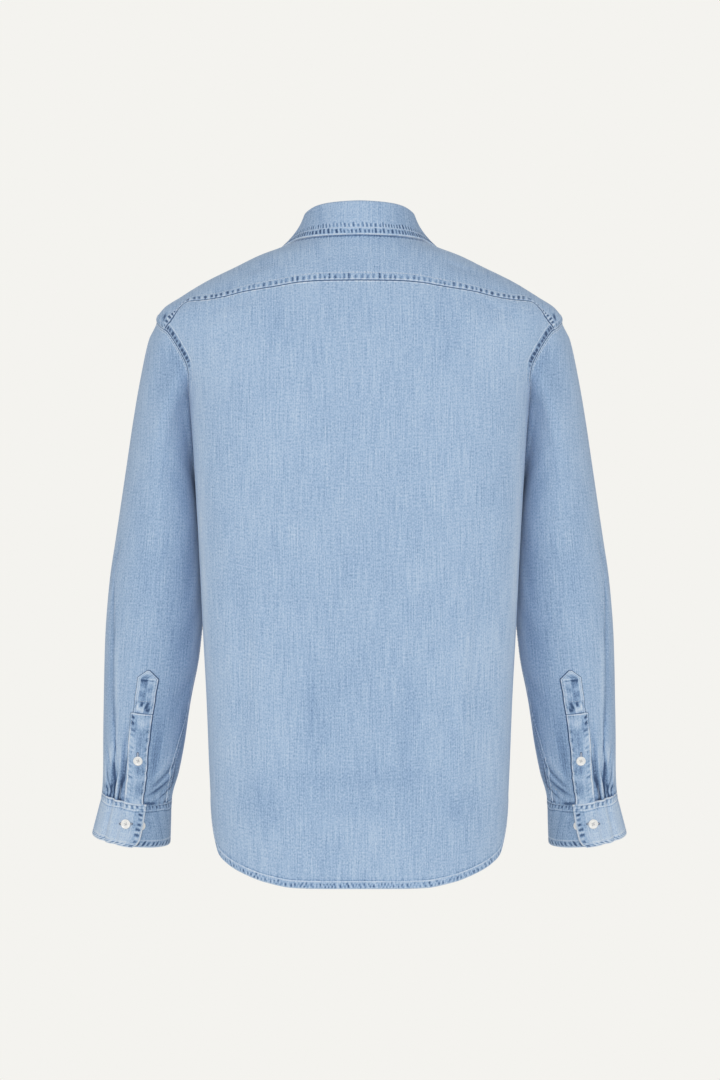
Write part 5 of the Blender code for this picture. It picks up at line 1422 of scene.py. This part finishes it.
tower = {
    "columns": 45, "rows": 145, "wall": 0.0012, "laidGap": 0.0004, "skirtOut": 0.9, "skirtIn": 1.9,
    "wander": 0.5,
    # station, outer angle, inner angle
    "edges": (
        (8.25, -90.1, -91.1), (8.39, -78.4, -103.1), (9.02, -76.1, -100.6), (9.06, -72.4, -100.3),
        (10.0, -71.5, -98.8), (11.0, -73.0, -100.8), (12.0, -74.0, -103.3),
    ),
    "boxFrom": 8.79, "boxTo": 9.02, "foldAt": 8.4,  # stations
    "stationLength": 0.0697,  # metres, near the placket
    "puckers": {
        "outer": (71, 6.6, 1.0, 7.0, 0.1, 0.3, 0.4, 0.34, 1.1),
        "inner": (75, 10.0, 0.4, 5.0, 0.5, 0.26, 0.4, 0.2, 0.6),
        "box": (72, 6.4, 0.2, 12.0, 0.3, 0.3, 0.4, 0.25, 1.2),
    },
    # painted highlight and shadow at the box's lower step and along the fold
    "mouthStepShading": ((1.2, 0.6, 0.6), (-1.3, -0.8, 0.6)), "foldLineShading": ((0.7, 0, 0.6), (-0.8, 1.5, 0.8)),
}


def towerPiece():
    # a strip on the sleeve with a pointed end, and past its edges a skirt that drops to the sleeve, painted
    # dark as the strip's shadow
    edges = np.array(tower["edges"])
    tip = edges[0, 0]
    zones = [(-0.02, 0.08, 1.5), (0.16, 0.26, 2)]
    rows = graded(1, tower["rows"] - len(edges) + 2, zones) * (cuffTop + 0.04 - tip) + tip
    rows = np.sort(np.concatenate([rows, edges[1:-1, 0]]))
    wander = tower["wander"] * ease((rows - tip - 0.2) / 0.2)
    outer = np.interp(rows, edges[:, 0], edges[:, 1]) + tower["skirtOut"] + wander * ripple(rows, 78, 0.16)
    inner = np.interp(rows, edges[:, 0], edges[:, 2]) - tower["skirtIn"] + wander * ripple(rows, 79, 0.18)
    across = graded(1, tower["columns"], [(-0.02, 0.16, 2.0), (0.84, 1.02, 2.0)])[:, None]
    angle = np.radians(outer[None] + (inner - outer)[None] * across)
    station = rows[None] + 0 * angle
    points, normals = tube(angle, station), tubeNormal(angle, station)
    run, _, wide, fromLast = measures(points)
    skirtOut, skirtIn = (tower[k] * sleeve["degree"] * 0.88 * mm for k in ("skirtOut", "skirtIn"))
    fromOut, fromIn, fromTip = wide - skirtOut, fromLast - skirtIn, run - 0.8 * mm
    edge = np.minimum(np.minimum(fromOut, fromIn), fromTip)
    # the way past the box
    along = (station - tower["boxTo"] - 0.02) * tower["stationLength"] - 1.8 * mm * wide / wide[-1:]
    box = (station - tower["boxFrom"]) * tower["stationLength"]
    fold = (station - tower["foldAt"]) * tower["stationLength"]
    onTop, below, above = ease(edge / (1 * mm)), ease(along / (4 * mm)), ease(-along / (4 * mm))
    lift, wearAndShade = puckered(tower["puckers"], {
        "outer": (run, fromOut, below * (0.75 + 0.4 * ripple(run, 70, 0.016)) * onTop),
        "inner": (run, fromIn, below * onTop), "box": (wide, box, onTop),
    })
    rise = (tower["laidGap"] + tower["wall"]) * ease((edge + 0.3 * mm) / (0.6 * mm))
    lift = lift + body["cloth"] / 2 + 0.05 * mm + rise - 0.22 * mm * bump(edge - 1.6 * mm, 0.6 * mm)
    lift = lift + 0.35 * mm * ease(along / (0.6 * mm))
    inward = ease((edge - 3 * mm) / (1 * mm))
    blotches = 0.16 * ripple(run, 74, 0.012) + 0.8 * ripple(run, 74, 0.011) * ripple(wide, 77, 0.007) - 0.05
    wearAndShade = wearAndShade + blotches + (0.8 * ripple(run, 69, 0.006) * ripple(wide, 60, 0.005) - 0.14) * above * inward
    pale = np.where(fromOut < fromIn, 0.75, 1.2) * (0.75 + 0.25 * ripple(run, 73, 0.005))
    wearAndShade = wearAndShade + pale * bump(edge - 0.7 * mm, 0.6 * mm) + 0.6 * bump(edge - 3.4 * mm, 0.5 * mm) * above
    # painted shadow on the skirt past the strip's edges
    shadow = np.where(fromIn < fromOut, bump(np.maximum(-fromIn - 0.4 * mm, 0), 0.9 * mm), 1.0)
    wearAndShade = wearAndShade - 2.0 * ease(-(edge - 0.1 * mm) / (0.4 * mm)) * shadow + streaks(along, tower["mouthStepShading"])
    wearAndShade = wearAndShade - 0.8 * bump(box - 0.4 * mm * ripple(wide, 76, 0.006), 0.6 * mm)
    # painted highlight and shadow along the fold line
    wearAndShade = wearAndShade + streaks(fold, tower["foldLineShading"]) * inward
    under = np.full(lift.shape, 0.4 * mm + tower["wall"])
    part = clothPart(points, normals, lift, stack(wide, run), wearAndShade, thickness=tower["wall"], under=under)
    lines = seamLines(part, fromOut, (1.8,), 0, 8, -2) + seamLines(part, fromIn, (1.8,), 0, 8, -2)
    return part, lines + seamLines(part, station * mm, (tower["boxFrom"], tower["boxTo"] + 0.05), 1, 8, -8)


sleeveMade, cuffMade, towerMade = sleevePiece(), cuffPiece(), towerPiece()
for side, name in ((1, "right"), (-1, "left")):
    makePieces([
        (name + "Sleeve", "sleeve_" + name, sleeveDenim, sleeveMade),
        (name + "Cuff", "cuff_" + name, trimDenim, cuffMade),
        (name + "SleevePlacket", "sleeve_placket_" + name, trimDenim, towerMade),
    ], side)
print("sleeves made")

# Collar

collar = {
    "wall": 0.0022, "leafWall": 0.0017, "back": 0.0275, "front": 0.025, "middleY": -0.004,
    "lean": (0.12, 0.27, 0.16), "gap": 0.0003, "foldStart": 0.0006, "foldRadius": 0.0026,
    "clearance": 0.0018, "endTurn": 174, "bulge": 0.002, "creaseShading": 60, "lapFrom": 0.5, "lapOver": 0.2,
    "standColumns": 321, "standRows": 25, "leafColumns": 417, "leafRows": 49, "rollRows": 12,
    "creases": (
        (-60, 14, -40, 34, 2, 9, -0.6), (58, 14, 40, 34, -2, 9, -0.6), (-14, 12, -6, 34, 2, 10, -0.4),
        (18, 12, 10, 34, -2, 10, -0.4),
    ),
    "standEdge": (50, 0.0, (1.7,)), "leafEdge": (7.8, 0.2, (7.8,)),
    "standPuckers": {
        "bottom": (81, 7.0, 1.2, 7.0, 0.2, 0.2, 0.4, 0.22, 0.7),
        "top": (82, 7.0, 1.2, 7.0, 0.2, 0.2, 0.4, 0.22, 0.7),
    },
    "leafPuckers": {
        "lower": (91, 4.7, 1.2, 7.8, 0.15, 0.3, 0.3, 0.36, 1.6),
        "upper": (92, 4.5, 8.0, 14.2, 0.15, 0.26, 0.5, 0.22, 1.15),
    },
}


def standSurface():  # up off the neckline, leaning inwards by an amount that changes round the neck
    lapTurn = turnAtX(-front["lap"], body["neck"][-1][1], False)
    turns = np.linspace(-lapTurn, lapTurn, collar["standColumns"])
    heights = heightAtTurn("neck", turns)
    base, out = torso(turns, heights), torsoNormal(turns, heights)
    into = unit(np.cross(out, unit(np.gradient(base, axis=0))))
    into *= np.sign(into[:, 2:])
    level = unit(base * (1, 1, 0) - np.array([0, collar["middleY"], 0]))
    backLean, sideLean, frontLean = collar["lean"]
    lean = np.where(np.cos(turns) > 0, backLean, frontLean)
    lean = lean + (sideLean - lean) * np.sin(turns) ** 2
    climb = unit(np.array([0, 0, 1.0]) - level * lean[:, None])
    tall = collar["back"] + (collar["front"] - collar["back"]) * (1 - np.cos(turns)) / 2
    parts = np.linspace(0, 1, collar["standRows"])
    points = base[:, None] + climb[:, None] * (tall[:, None] * parts)[..., None] + (into * 0.00015)[:, None]
    normals = gridNormals(points, False)
    normals *= np.sign((normals[:, -1] * level).sum())
    return turns, points, normals, level, climb


def standPiece():  # the stand's surface plus relief, its lapped end drawn in
    turns, points, normals, _, _ = standSurface()
    run, fromTop, across, fromLast = measures(points)
    step = ease((collar["lapFrom"] - (np.pi - turns)) / collar["lapOver"])[:, None]
    edge = np.minimum(np.minimum(run, fromTop), np.minimum(across, fromLast))
    alongBottom = across[:, :1]
    places = {"bottom": (alongBottom, run, 1), "top": (alongBottom, fromTop, 1)}
    lift, wearAndShade = puckered(collar["standPuckers"], places)
    lift = lift + collar["wall"] / 2 - step * (collar["wall"] + front["lapGap"])
    lift = lift + band(edge, *collar["standEdge"])
    wearAndShade = wearAndShade + edgeTone(edge, alongBottom, 83, 0.7)
    part = clothPart(points, normals, lift, stack(across, run), wearAndShade, thickness=collar["wall"])
    return part, seamLines(part, run, (1.8,), 1, 2, -2) + seamLines(part, fromTop, (1.8,), 1, 2, -2)


def clearOfBody(points, distance):  # pushes points out, level, until they are this far from the body's wall
    x, y, z = points[..., 0], points[..., 1], points[..., 2]
    turn = np.arctan2(x, sectionValue("widestY", z) - y)
    surface, out = torso(turn, z), torsoNormal(turn, z)
    level = unit(surface * (1, 1, 0) - stack(0.0, sectionValue("widestY", z), 0.0))
    needed = distance / np.maximum((out * level).sum(-1), 0.3)
    have = ((points - surface) * level).sum(-1)
    push = np.where(z < heightAtTurn("neck", turn), np.maximum(needed - have, 0), 0)
    return points + level * push[..., None]


def leafPiece():  # up off the stand, over in a half circle and down to the lower edge
    share = np.linspace(-1, 1, collar["leafColumns"])
    turns = np.radians(collar["endTurn"]) * share
    standTurns, stand, out, level, climb = standSurface()
    lines = np.concatenate([stand[:, -1], out[:, -1], level, climb], axis=1)
    lines = np.stack([np.interp(turns, standTurns, line) for line in lines.T], axis=1)
    top, out, level, climb = lines[:, :3], *(unit(lines[:, k : k + 3]) for k in (3, 6, 9))
    rows = [top + climb * collar["gap"]]
    for bend in np.linspace(np.pi, 0, collar["rollRows"]):
        rise = collar["gap"] + collar["foldStart"] + collar["foldRadius"] * math.sin(bend)
        rows.append(top + level * collar["foldRadius"] * (1 + math.cos(bend)) + climb * rise)
    table = np.array(body["collarEdge"])
    edgeTurn = np.radians(smoothCurve(table[:, 0], table[:, 1], np.abs(share))) * np.sign(share)
    edgeHeight = smoothCurve(table[:, 0], table[:, 2], np.abs(share))
    edge = torso(edgeTurn, edgeHeight) + torsoNormal(edgeTurn, edgeHeight) * collar["clearance"]
    turned, falling = rows[-1], len(rows)
    for part in graded(1, collar["leafRows"] - falling + 1, [(0.6, 1.02, 0.6)])[1:]:
        bulge = collar["bulge"] * math.sin(math.pi * part) * np.cos(2 * turns)[:, None]
        rows.append(turned * (1 - part) + edge * part + level * bulge)
    points = np.stack(rows, axis=1)
    points[:, falling:] = clearOfBody(points[:, falling:], collar["clearance"])
    normals = gridNormals(points, False)
    normals *= np.sign((normals[:, falling + 1] * level).sum())
    normals[:, 0] = out
    run, fromBottom, across, fromLast = measures(points)
    fromEnd = np.minimum(across, fromLast) + 0.02 * ease((10 * mm - run) / (4 * mm))
    alongEdge, centre = across[:, -1:], across - across[-1:] / 2
    edge = np.minimum(fromBottom, fromEnd)
    places = {name: (alongEdge, edge, 1) for name in collar["leafPuckers"]}
    lift, wearAndShade = puckered(collar["leafPuckers"], places)
    soft = creases(centre, run, collar["creases"])
    lift = lift + collar["leafWall"] / 2 + soft + band(edge, *collar["leafEdge"])
    # painted shade and highlight in the creases, and the edge worn pale
    wearAndShade = wearAndShade + collar["creaseShading"] * soft + edgeTone(edge, alongEdge, 93, 1.1)
    wearAndShade = wearAndShade + 0.3 * bump(edge - 7.9 * mm, 0.5 * mm)
    # painted shade: the leaf darker towards its sides, where it turns away, and paler at the back centre
    wearAndShade = wearAndShade + 0.12 * bump(centre, 0.045) - 0.26 * (1 - bump(centre, 0.08))
    part = clothPart(points, normals, lift, stack(centre, run), wearAndShade, thickness=collar["leafWall"])
    lines = seamLines(part, fromBottom, (7.9,), 1, 5, -5)
    for measure in (across, fromLast):
        lines += seamLines(part, measure, (7.9,), 0, falling + 2, -5)
    return part, lines


makePieces([("collarStand", "collar_stand", trimDenim, standPiece())])
makePieces([("collarLeaf", "collar_leaf", trimDenim, leafPiece())])
print("collar made")

# Buttons and buttonholes

button = {
    "radius": 0.0057, "gauntletRadius": 0.0055, "sides": 64, "hole": 0.095, "holeSpread": 0.2,
    "holeDepth": 0.0009,
    # share of the radius, height in mm: the flat middle, the rim and the back
    "profile": (
        (0.03, 1.5), (0.07, 1.5), (0.11, 1.5), (0.15, 1.5), (0.19, 1.5), (0.23, 1.5), (0.27, 1.5),
        (0.31, 1.5), (0.35, 1.5), (0.39, 1.5), (0.44, 1.5), (0.52, 1.51), (0.6, 1.54), (0.67, 1.64),
        (0.73, 1.84), (0.79, 2.02), (0.85, 2.1), (0.91, 2.06), (0.96, 1.9), (0.99, 1.62), (1.0, 1.2),
        (0.985, 0.7), (0.94, 0.28), (0.86, 0.05), (0.76, 0.0), (0.4, 0.0),
    ),
    "strand": 0.22, "strandGap": 0.19, "strandHeight": 1.78, "strandDip": 1.1,  # the crossed threads, in mm
    # ring and slit in mm
    "slitLength": 0.0158, "ringWidth": 1.2, "ringThread": 0.52, "ridges": 36, "slitThread": 0.6,
    "frontTop": -0.125, "frontStep": 0.09, "frontCount": 6,
    # angle round the sleeve, station, place along the cuff's strip
    "sleeve": (
        ("button_gauntlet", -86.8, 10.32, 0.0), ("button_cuff", -80.8, 12.51, 27.2),
        ("button_cuff_spare", -103.4, 12.53, 361.2),
    ),
}


def placing(point, normal, spin=0.0):
    # from across, up and out of a flat shape to a point that faces this way
    out = unit(np.asarray(normal, float))
    across = unit(np.cross((0, 0, 1.0), out))
    up = np.cross(out, across)
    cosine, sine = math.cos(spin), math.sin(spin)
    turned = np.stack([across * cosine + up * sine, up * cosine - across * sine, out], axis=1)
    return lambda local: local @ turned.T + np.asarray(point)


def buttonShape(radius):  # a turned profile, with four pits where its height drops inside a circle
    profile = np.array(button["profile"])
    turn = np.linspace(0, 2 * np.pi, button["sides"], endpoint=False)
    r, z = profile[:, :1] * radius, profile[:, 1:] * mm
    x, y = r * np.cos(turn), r * np.sin(turn)
    spread = button["holeSpread"] * radius
    away = np.min([np.hypot(x - sx * spread, y - sy * spread) for sx in (-1, 1) for sy in (-1, 1)], axis=0)
    inPit = ease((button["hole"] * radius - away) / (0.14 * mm) + 0.5) * (z > 1.2 * mm) * (r < 0.5 * radius)
    rings = stack(x, y, z - button["holeDepth"] * inPit)
    count, sides = rings.shape[:2]
    corners = np.concatenate([rings.reshape(-1, 3), [[0, 0, 1.5 * mm]], [[0, 0, 0]]])
    number = np.arange(count * sides).reshape(count, sides)
    number = np.concatenate([number, number[:, :1]], axis=1)
    top = np.stack([np.full(sides, count * sides), number[0, :-1], number[0, 1:]], axis=1)
    bottom = np.stack([np.full(sides, count * sides + 1), number[-1, 1:], number[-1, :-1]], axis=1)
    faces = [gridQuads(number), np.concatenate([top, bottom])]
    return corners, faces if meshVolume(corners, faces) > 0 else [face[:, ::-1] for face in faces]


def tubeAlong(path, out, radius, sides=6, closedPath=False):  # a ring of points round each point of a path
    tangent = np.gradient(path, axis=0)
    if closedPath:
        tangent = np.roll(path, -1, axis=0) - np.roll(path, 1, axis=0)
    side = unit(np.cross(unit(tangent), out))
    up = np.cross(side, unit(tangent))
    turn = np.linspace(0, 2 * np.pi, sides, endpoint=False)[None, :, None]
    radius = np.broadcast_to(np.asarray(radius, float), (len(path),))[:, None, None]
    rings = path[:, None] + radius * (np.cos(turn) * side[:, None] + np.sin(turn) * up[:, None])
    number = np.arange(len(path) * sides).reshape(len(path), sides)
    if closedPath:
        number = ringed(number)
    number = np.concatenate([number, number[:, :1]], axis=1)
    faces = gridQuads(number)
    if not closedPath:  # both ends are closed by two quads
        for end in (number[0, :-1][::-1], number[-1, :-1]):
            quads = np.stack([end[[0, 0]], end[[1, 3]], end[[2, 4]], end[[3, 5]]], axis=1)
            faces = np.concatenate([faces, quads])
    return rings.reshape(-1, 3), faces


def joined(shapes):
    corners, faces, shift = [], [], 0
    for points, quads in shapes:
        if meshVolume(points, [quads]) < 0:
            quads = quads[:, ::-1]
        corners.append(points)
        faces.append(quads + shift)
        shift += len(points)
    return np.concatenate(corners), [np.concatenate(faces)]


def crossThreads(radius):  # two strands over each diagonal pair of holes, sinking into them
    spread = button["holeSpread"] * radius
    t = np.linspace(-1, 1, 11)
    shapes = []
    for sign in (-1, 1):
        for offset in (-button["strandGap"] * mm, button["strandGap"] * mm):
            direction = np.array([1, sign, 0]) / math.sqrt(2)
            across = np.array([-sign, 1, 0]) / math.sqrt(2)
            path = t[:, None] * 1.15 * spread * math.sqrt(2) * direction + across * offset
            dip = button["strandDip"] * mm * np.abs(t) ** 5
            path[:, 2] = button["strandHeight"] * mm + 0.06 * mm * (sign > 0) - dip
            shapes.append(tubeAlong(path, np.array([[0, 0, 1.0]] * len(t)), button["strand"] * mm))
    return shapes


def buttonholeShape(halfLength, bend):
    # a thread ring round a slit, ridged by its stitches, laid over a curve
    turn = np.linspace(0, 2 * np.pi, 144, endpoint=False)
    x = halfLength * np.sign(np.cos(turn)) * np.abs(np.cos(turn)) ** 0.35
    y = button["ringWidth"] * mm * np.sign(np.sin(turn)) * np.abs(np.sin(turn)) ** 0.8
    path = np.stack([x, y, 0.1 * mm - bend * x**2], axis=1)
    radius = button["ringThread"] * mm * (1 + 0.22 * np.sin(button["ridges"] * turn))
    slit = np.linspace(-0.92 * halfLength, 0.92 * halfLength, 9)
    slit = np.stack([slit, 0 * slit, 0.15 * mm - bend * slit**2], axis=1)
    up = np.array([[0, 0, 1.0]])
    return tubeAlong(path, up, radius, closedPath=True), tubeAlong(slit, up, button["slitThread"] * mm)


def frontPlaces():  # name, point, direction, spin and bend of the cloth, down the front and on the stand
    seat = body["cloth"] / 2 + front["laidGap"] + front["bandWall"]
    for number in range(button["frontCount"]):
        height = np.array(button["frontTop"] - number * button["frontStep"])
        point, normal = torso(np.array(np.pi), height), torsoNormal(np.array(np.pi), height)
        yield f"button_front_{number + 1}", point + normal * seat, normal, math.pi / 2, 0.0
    turns, points, normals, _, _ = standSurface()
    middle = np.argmin(np.abs(turns + np.pi))
    point, normal = points[middle].mean(axis=0), normals[middle, collar["standRows"] // 2]
    yield "button_collar", point + normal * (collar["wall"] / 2), normal, 0.0, 6.0


def sleevePlaces():  # the same on the right sleeve
    for name, degrees, station, lap in button["sleeve"]:
        angle, station = np.array(np.radians(degrees)), np.array(float(station))
        onCuff = station > cuffTop
        seat = cuff["wall"] / 2 if onCuff else body["cloth"] / 2 + tower["laidGap"] + tower["wall"]
        point, normal = tube(angle, station, lapLift(lap) if onCuff else 0.0), tubeNormal(angle, station)
        yield name, point + normal * seat, normal, 0.0 if onCuff else math.pi / 2, 9.0 if onCuff else 0.0


def addButtons():
    threads, holes, slits = [], [], []
    places = list(frontPlaces())
    for suffix, flip in (("_right", 1), ("_left", -1)):
        flip = (flip, 1, 1)
        for name, point, normal, *rest in sleevePlaces():
            places.append((name + suffix, point * flip, normal * flip, *rest))
    for name, point, normal, spin, bend in places:
        radius = button["gauntletRadius"] if "gauntlet" in name else button["radius"]
        corners, faces = buttonShape(radius)
        place = placing(point + unit(np.asarray(normal)) * 0.15 * mm, normal, 0.3)
        piece = buildMesh(name.replace("button", "shirtButton"), place(corners), faces, buttonMade, sharp=60)
        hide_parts(name)
        threads += [(place(points), quads) for points, quads in crossThreads(radius)]
        if "spare" not in name:
            place = placing(point, normal, spin)
            shift = (0.2 * mm if "cuff" in name else 2.2 * mm, 0, 0)
            for kept, (points, quads) in zip((holes, slits), buttonholeShape(button["slitLength"] / 2, bend)):
                kept.append((place(points + shift), quads))
    sewn = (("buttonThreads", threads, whiteThread), ("buttonholes", holes, holeThread))
    for name, shapes, finish in (*sewn, ("buttonholeSlits", slits, slitMade)):
        buildMesh(name, *joined(shapes), finish, sharp=80)


addButtons()
print("buttons made")

# Cloth as it was cut: width and length in metres, how it is held, what it rests on, and its flat area
cuts = (
    ("backPanel", (0.6, 0.69), "hung", ["yokePanel"], 0.33),
    ("yokePanel", (0.5, 0.2), "draped", ["collarStand"], 0.057),
    ("rightFront", (0.26, 0.74), "hung", ["yokePanel"], 0.14),
    ("leftFront", (0.26, 0.74), "hung", ["yokePanel"], 0.14),
    ("buttonBand", (0.034, 0.675), "laid", ["leftFront"], None),
    ("rightSleeve", (0.46, 0.56), "hung", ["backPanel", "rightFront"], 0.168),
    ("leftSleeve", (0.46, 0.56), "hung", ["backPanel", "leftFront"], 0.168),
    ("rightCuff", (0.29, 0.053), "hung", ["rightSleeve"], None),
    ("leftCuff", (0.29, 0.053), "hung", ["leftSleeve"], None),
    ("rightSleevePlacket", (0.026, 0.168), "laid", ["rightSleeve"], None),
    ("leftSleevePlacket", (0.026, 0.168), "laid", ["leftSleeve"], None),
    ("collarStand", (0.45, 0.027), "laid", ["yokePanel"], None),
    ("collarLeaf", (0.5, 0.09), "folded", ["collarStand"], 0.0265),
)
for name, flat, held, restsOn, area in cuts:
    mesh = pieces[name].data
    areas = np.zeros(len(mesh.polygons))
    mesh.polygons.foreach_get("area", areas)
    triangles = sum(len(face.vertices) - 2 for face in mesh.polygons)
    print(f"{name}: half surface {areas.sum() / 2:.4f} m2, {triangles} triangles")
    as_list(restsOn)

# Studio

studio = {
    "camera": (0.0003, -4.0, -0.353), "middle": 359.7, "pixel": 0.00115, "width": 720, "height": 1080,
    "backdrop": (244, 243, 239), "floorHeight": -1.55, "floorRadius": 2.6, "floorSides": 64,
    "floorColours": ((232, 231, 227), (240, 239, 235)),
    "skyLight": 0.59,  # the backdrop's light on the shirt, as a share of its brightness in view
    # name, place, aim, size, watts
    "lights": (
        ("keyLight", (0, -4.6, 0.5), (0, 0, -0.35), 1.8, 79),
        ("leftLight", (-3.2, -1.4, 0.3), (0, 0, -0.35), 2.0, 18),
        ("rightLight", (3.2, -1.4, 0.3), (0, 0, -0.35), 2.0, 18),
        ("frontLight", (0, 4.6, 0.5), (0, 0, -0.35), 1.8, 90),
    ),
}


def addCamera():  # level, behind the shirt
    camera = bpy.data.objects.new("camera", bpy.data.cameras.new("camera"))
    bpy.context.scene.collection.objects.link(camera)
    camera.location = studio["camera"]
    camera.rotation_euler = (math.pi / 2, 0, 0)
    halfView = studio["height"] / 2 * studio["pixel"] / abs(studio["camera"][1])
    camera.data.sensor_width = 36
    camera.data.lens = 18 / halfView
    camera.data.dof.use_dof = False
    camera.data.clip_end = 50
    camera.data.shift_x = (studio["width"] / 2 - studio["middle"]) / studio["height"]
    bpy.context.scene.camera = camera


def addLight():
    scene = bpy.context.scene
    world = bpy.data.worlds.new("studio")
    world.use_nodes = True
    sky = world.node_tree
    sky.nodes["Background"].inputs[0].default_value = linear(*studio["backdrop"])
    seen = sky.nodes.new("ShaderNodeLightPath").outputs["Is Camera Ray"]
    share = studio["skyLight"]
    sky.links.new(calc(sky, "MULTIPLY_ADD", seen, 1 - share, share), sky.nodes["Background"].inputs[1])
    scene.world = world
    scene.view_settings.view_transform = "Standard"
    for name, place, aim, size, watts in studio["lights"]:
        lamp = bpy.data.lights.new(name, "AREA")
        lamp.size, lamp.energy = size, watts
        light = bpy.data.objects.new(name, lamp)
        light.location = place
        light.rotation_euler = (Vector(aim) - Vector(place)).to_track_quat("-Z", "Y").to_euler()
        scene.collection.objects.link(light)


def addFloor():  # a thin disc, its profile turned once round
    sides, radius = studio["floorSides"], studio["floorRadius"]
    turn = np.linspace(0, 2 * np.pi, sides, endpoint=False)
    profile = ((0.0004, 0.0), (1.3, 0.0), (radius, 0.0), (radius, -0.02), (0.0004, -0.02))  # radius, drop
    level = studio["floorHeight"]
    rings = np.stack([stack(r * np.cos(turn), r * np.sin(turn), level + drop) for r, drop in profile])
    number = ringed(np.arange(len(profile) * sides).reshape(-1, sides))
    number = np.concatenate([number, number[:, :1]], axis=1)
    floorMade = clouded("studioFloor", 0.9, studio["floorColours"], (1.2, 1.2, 1.2), 2, 0.5)[0]
    buildMesh("studioFloor", rings.reshape(-1, 3), [gridQuads(number)], floorMade)


addCamera()
addLight()
addFloor()
print("studio ready")
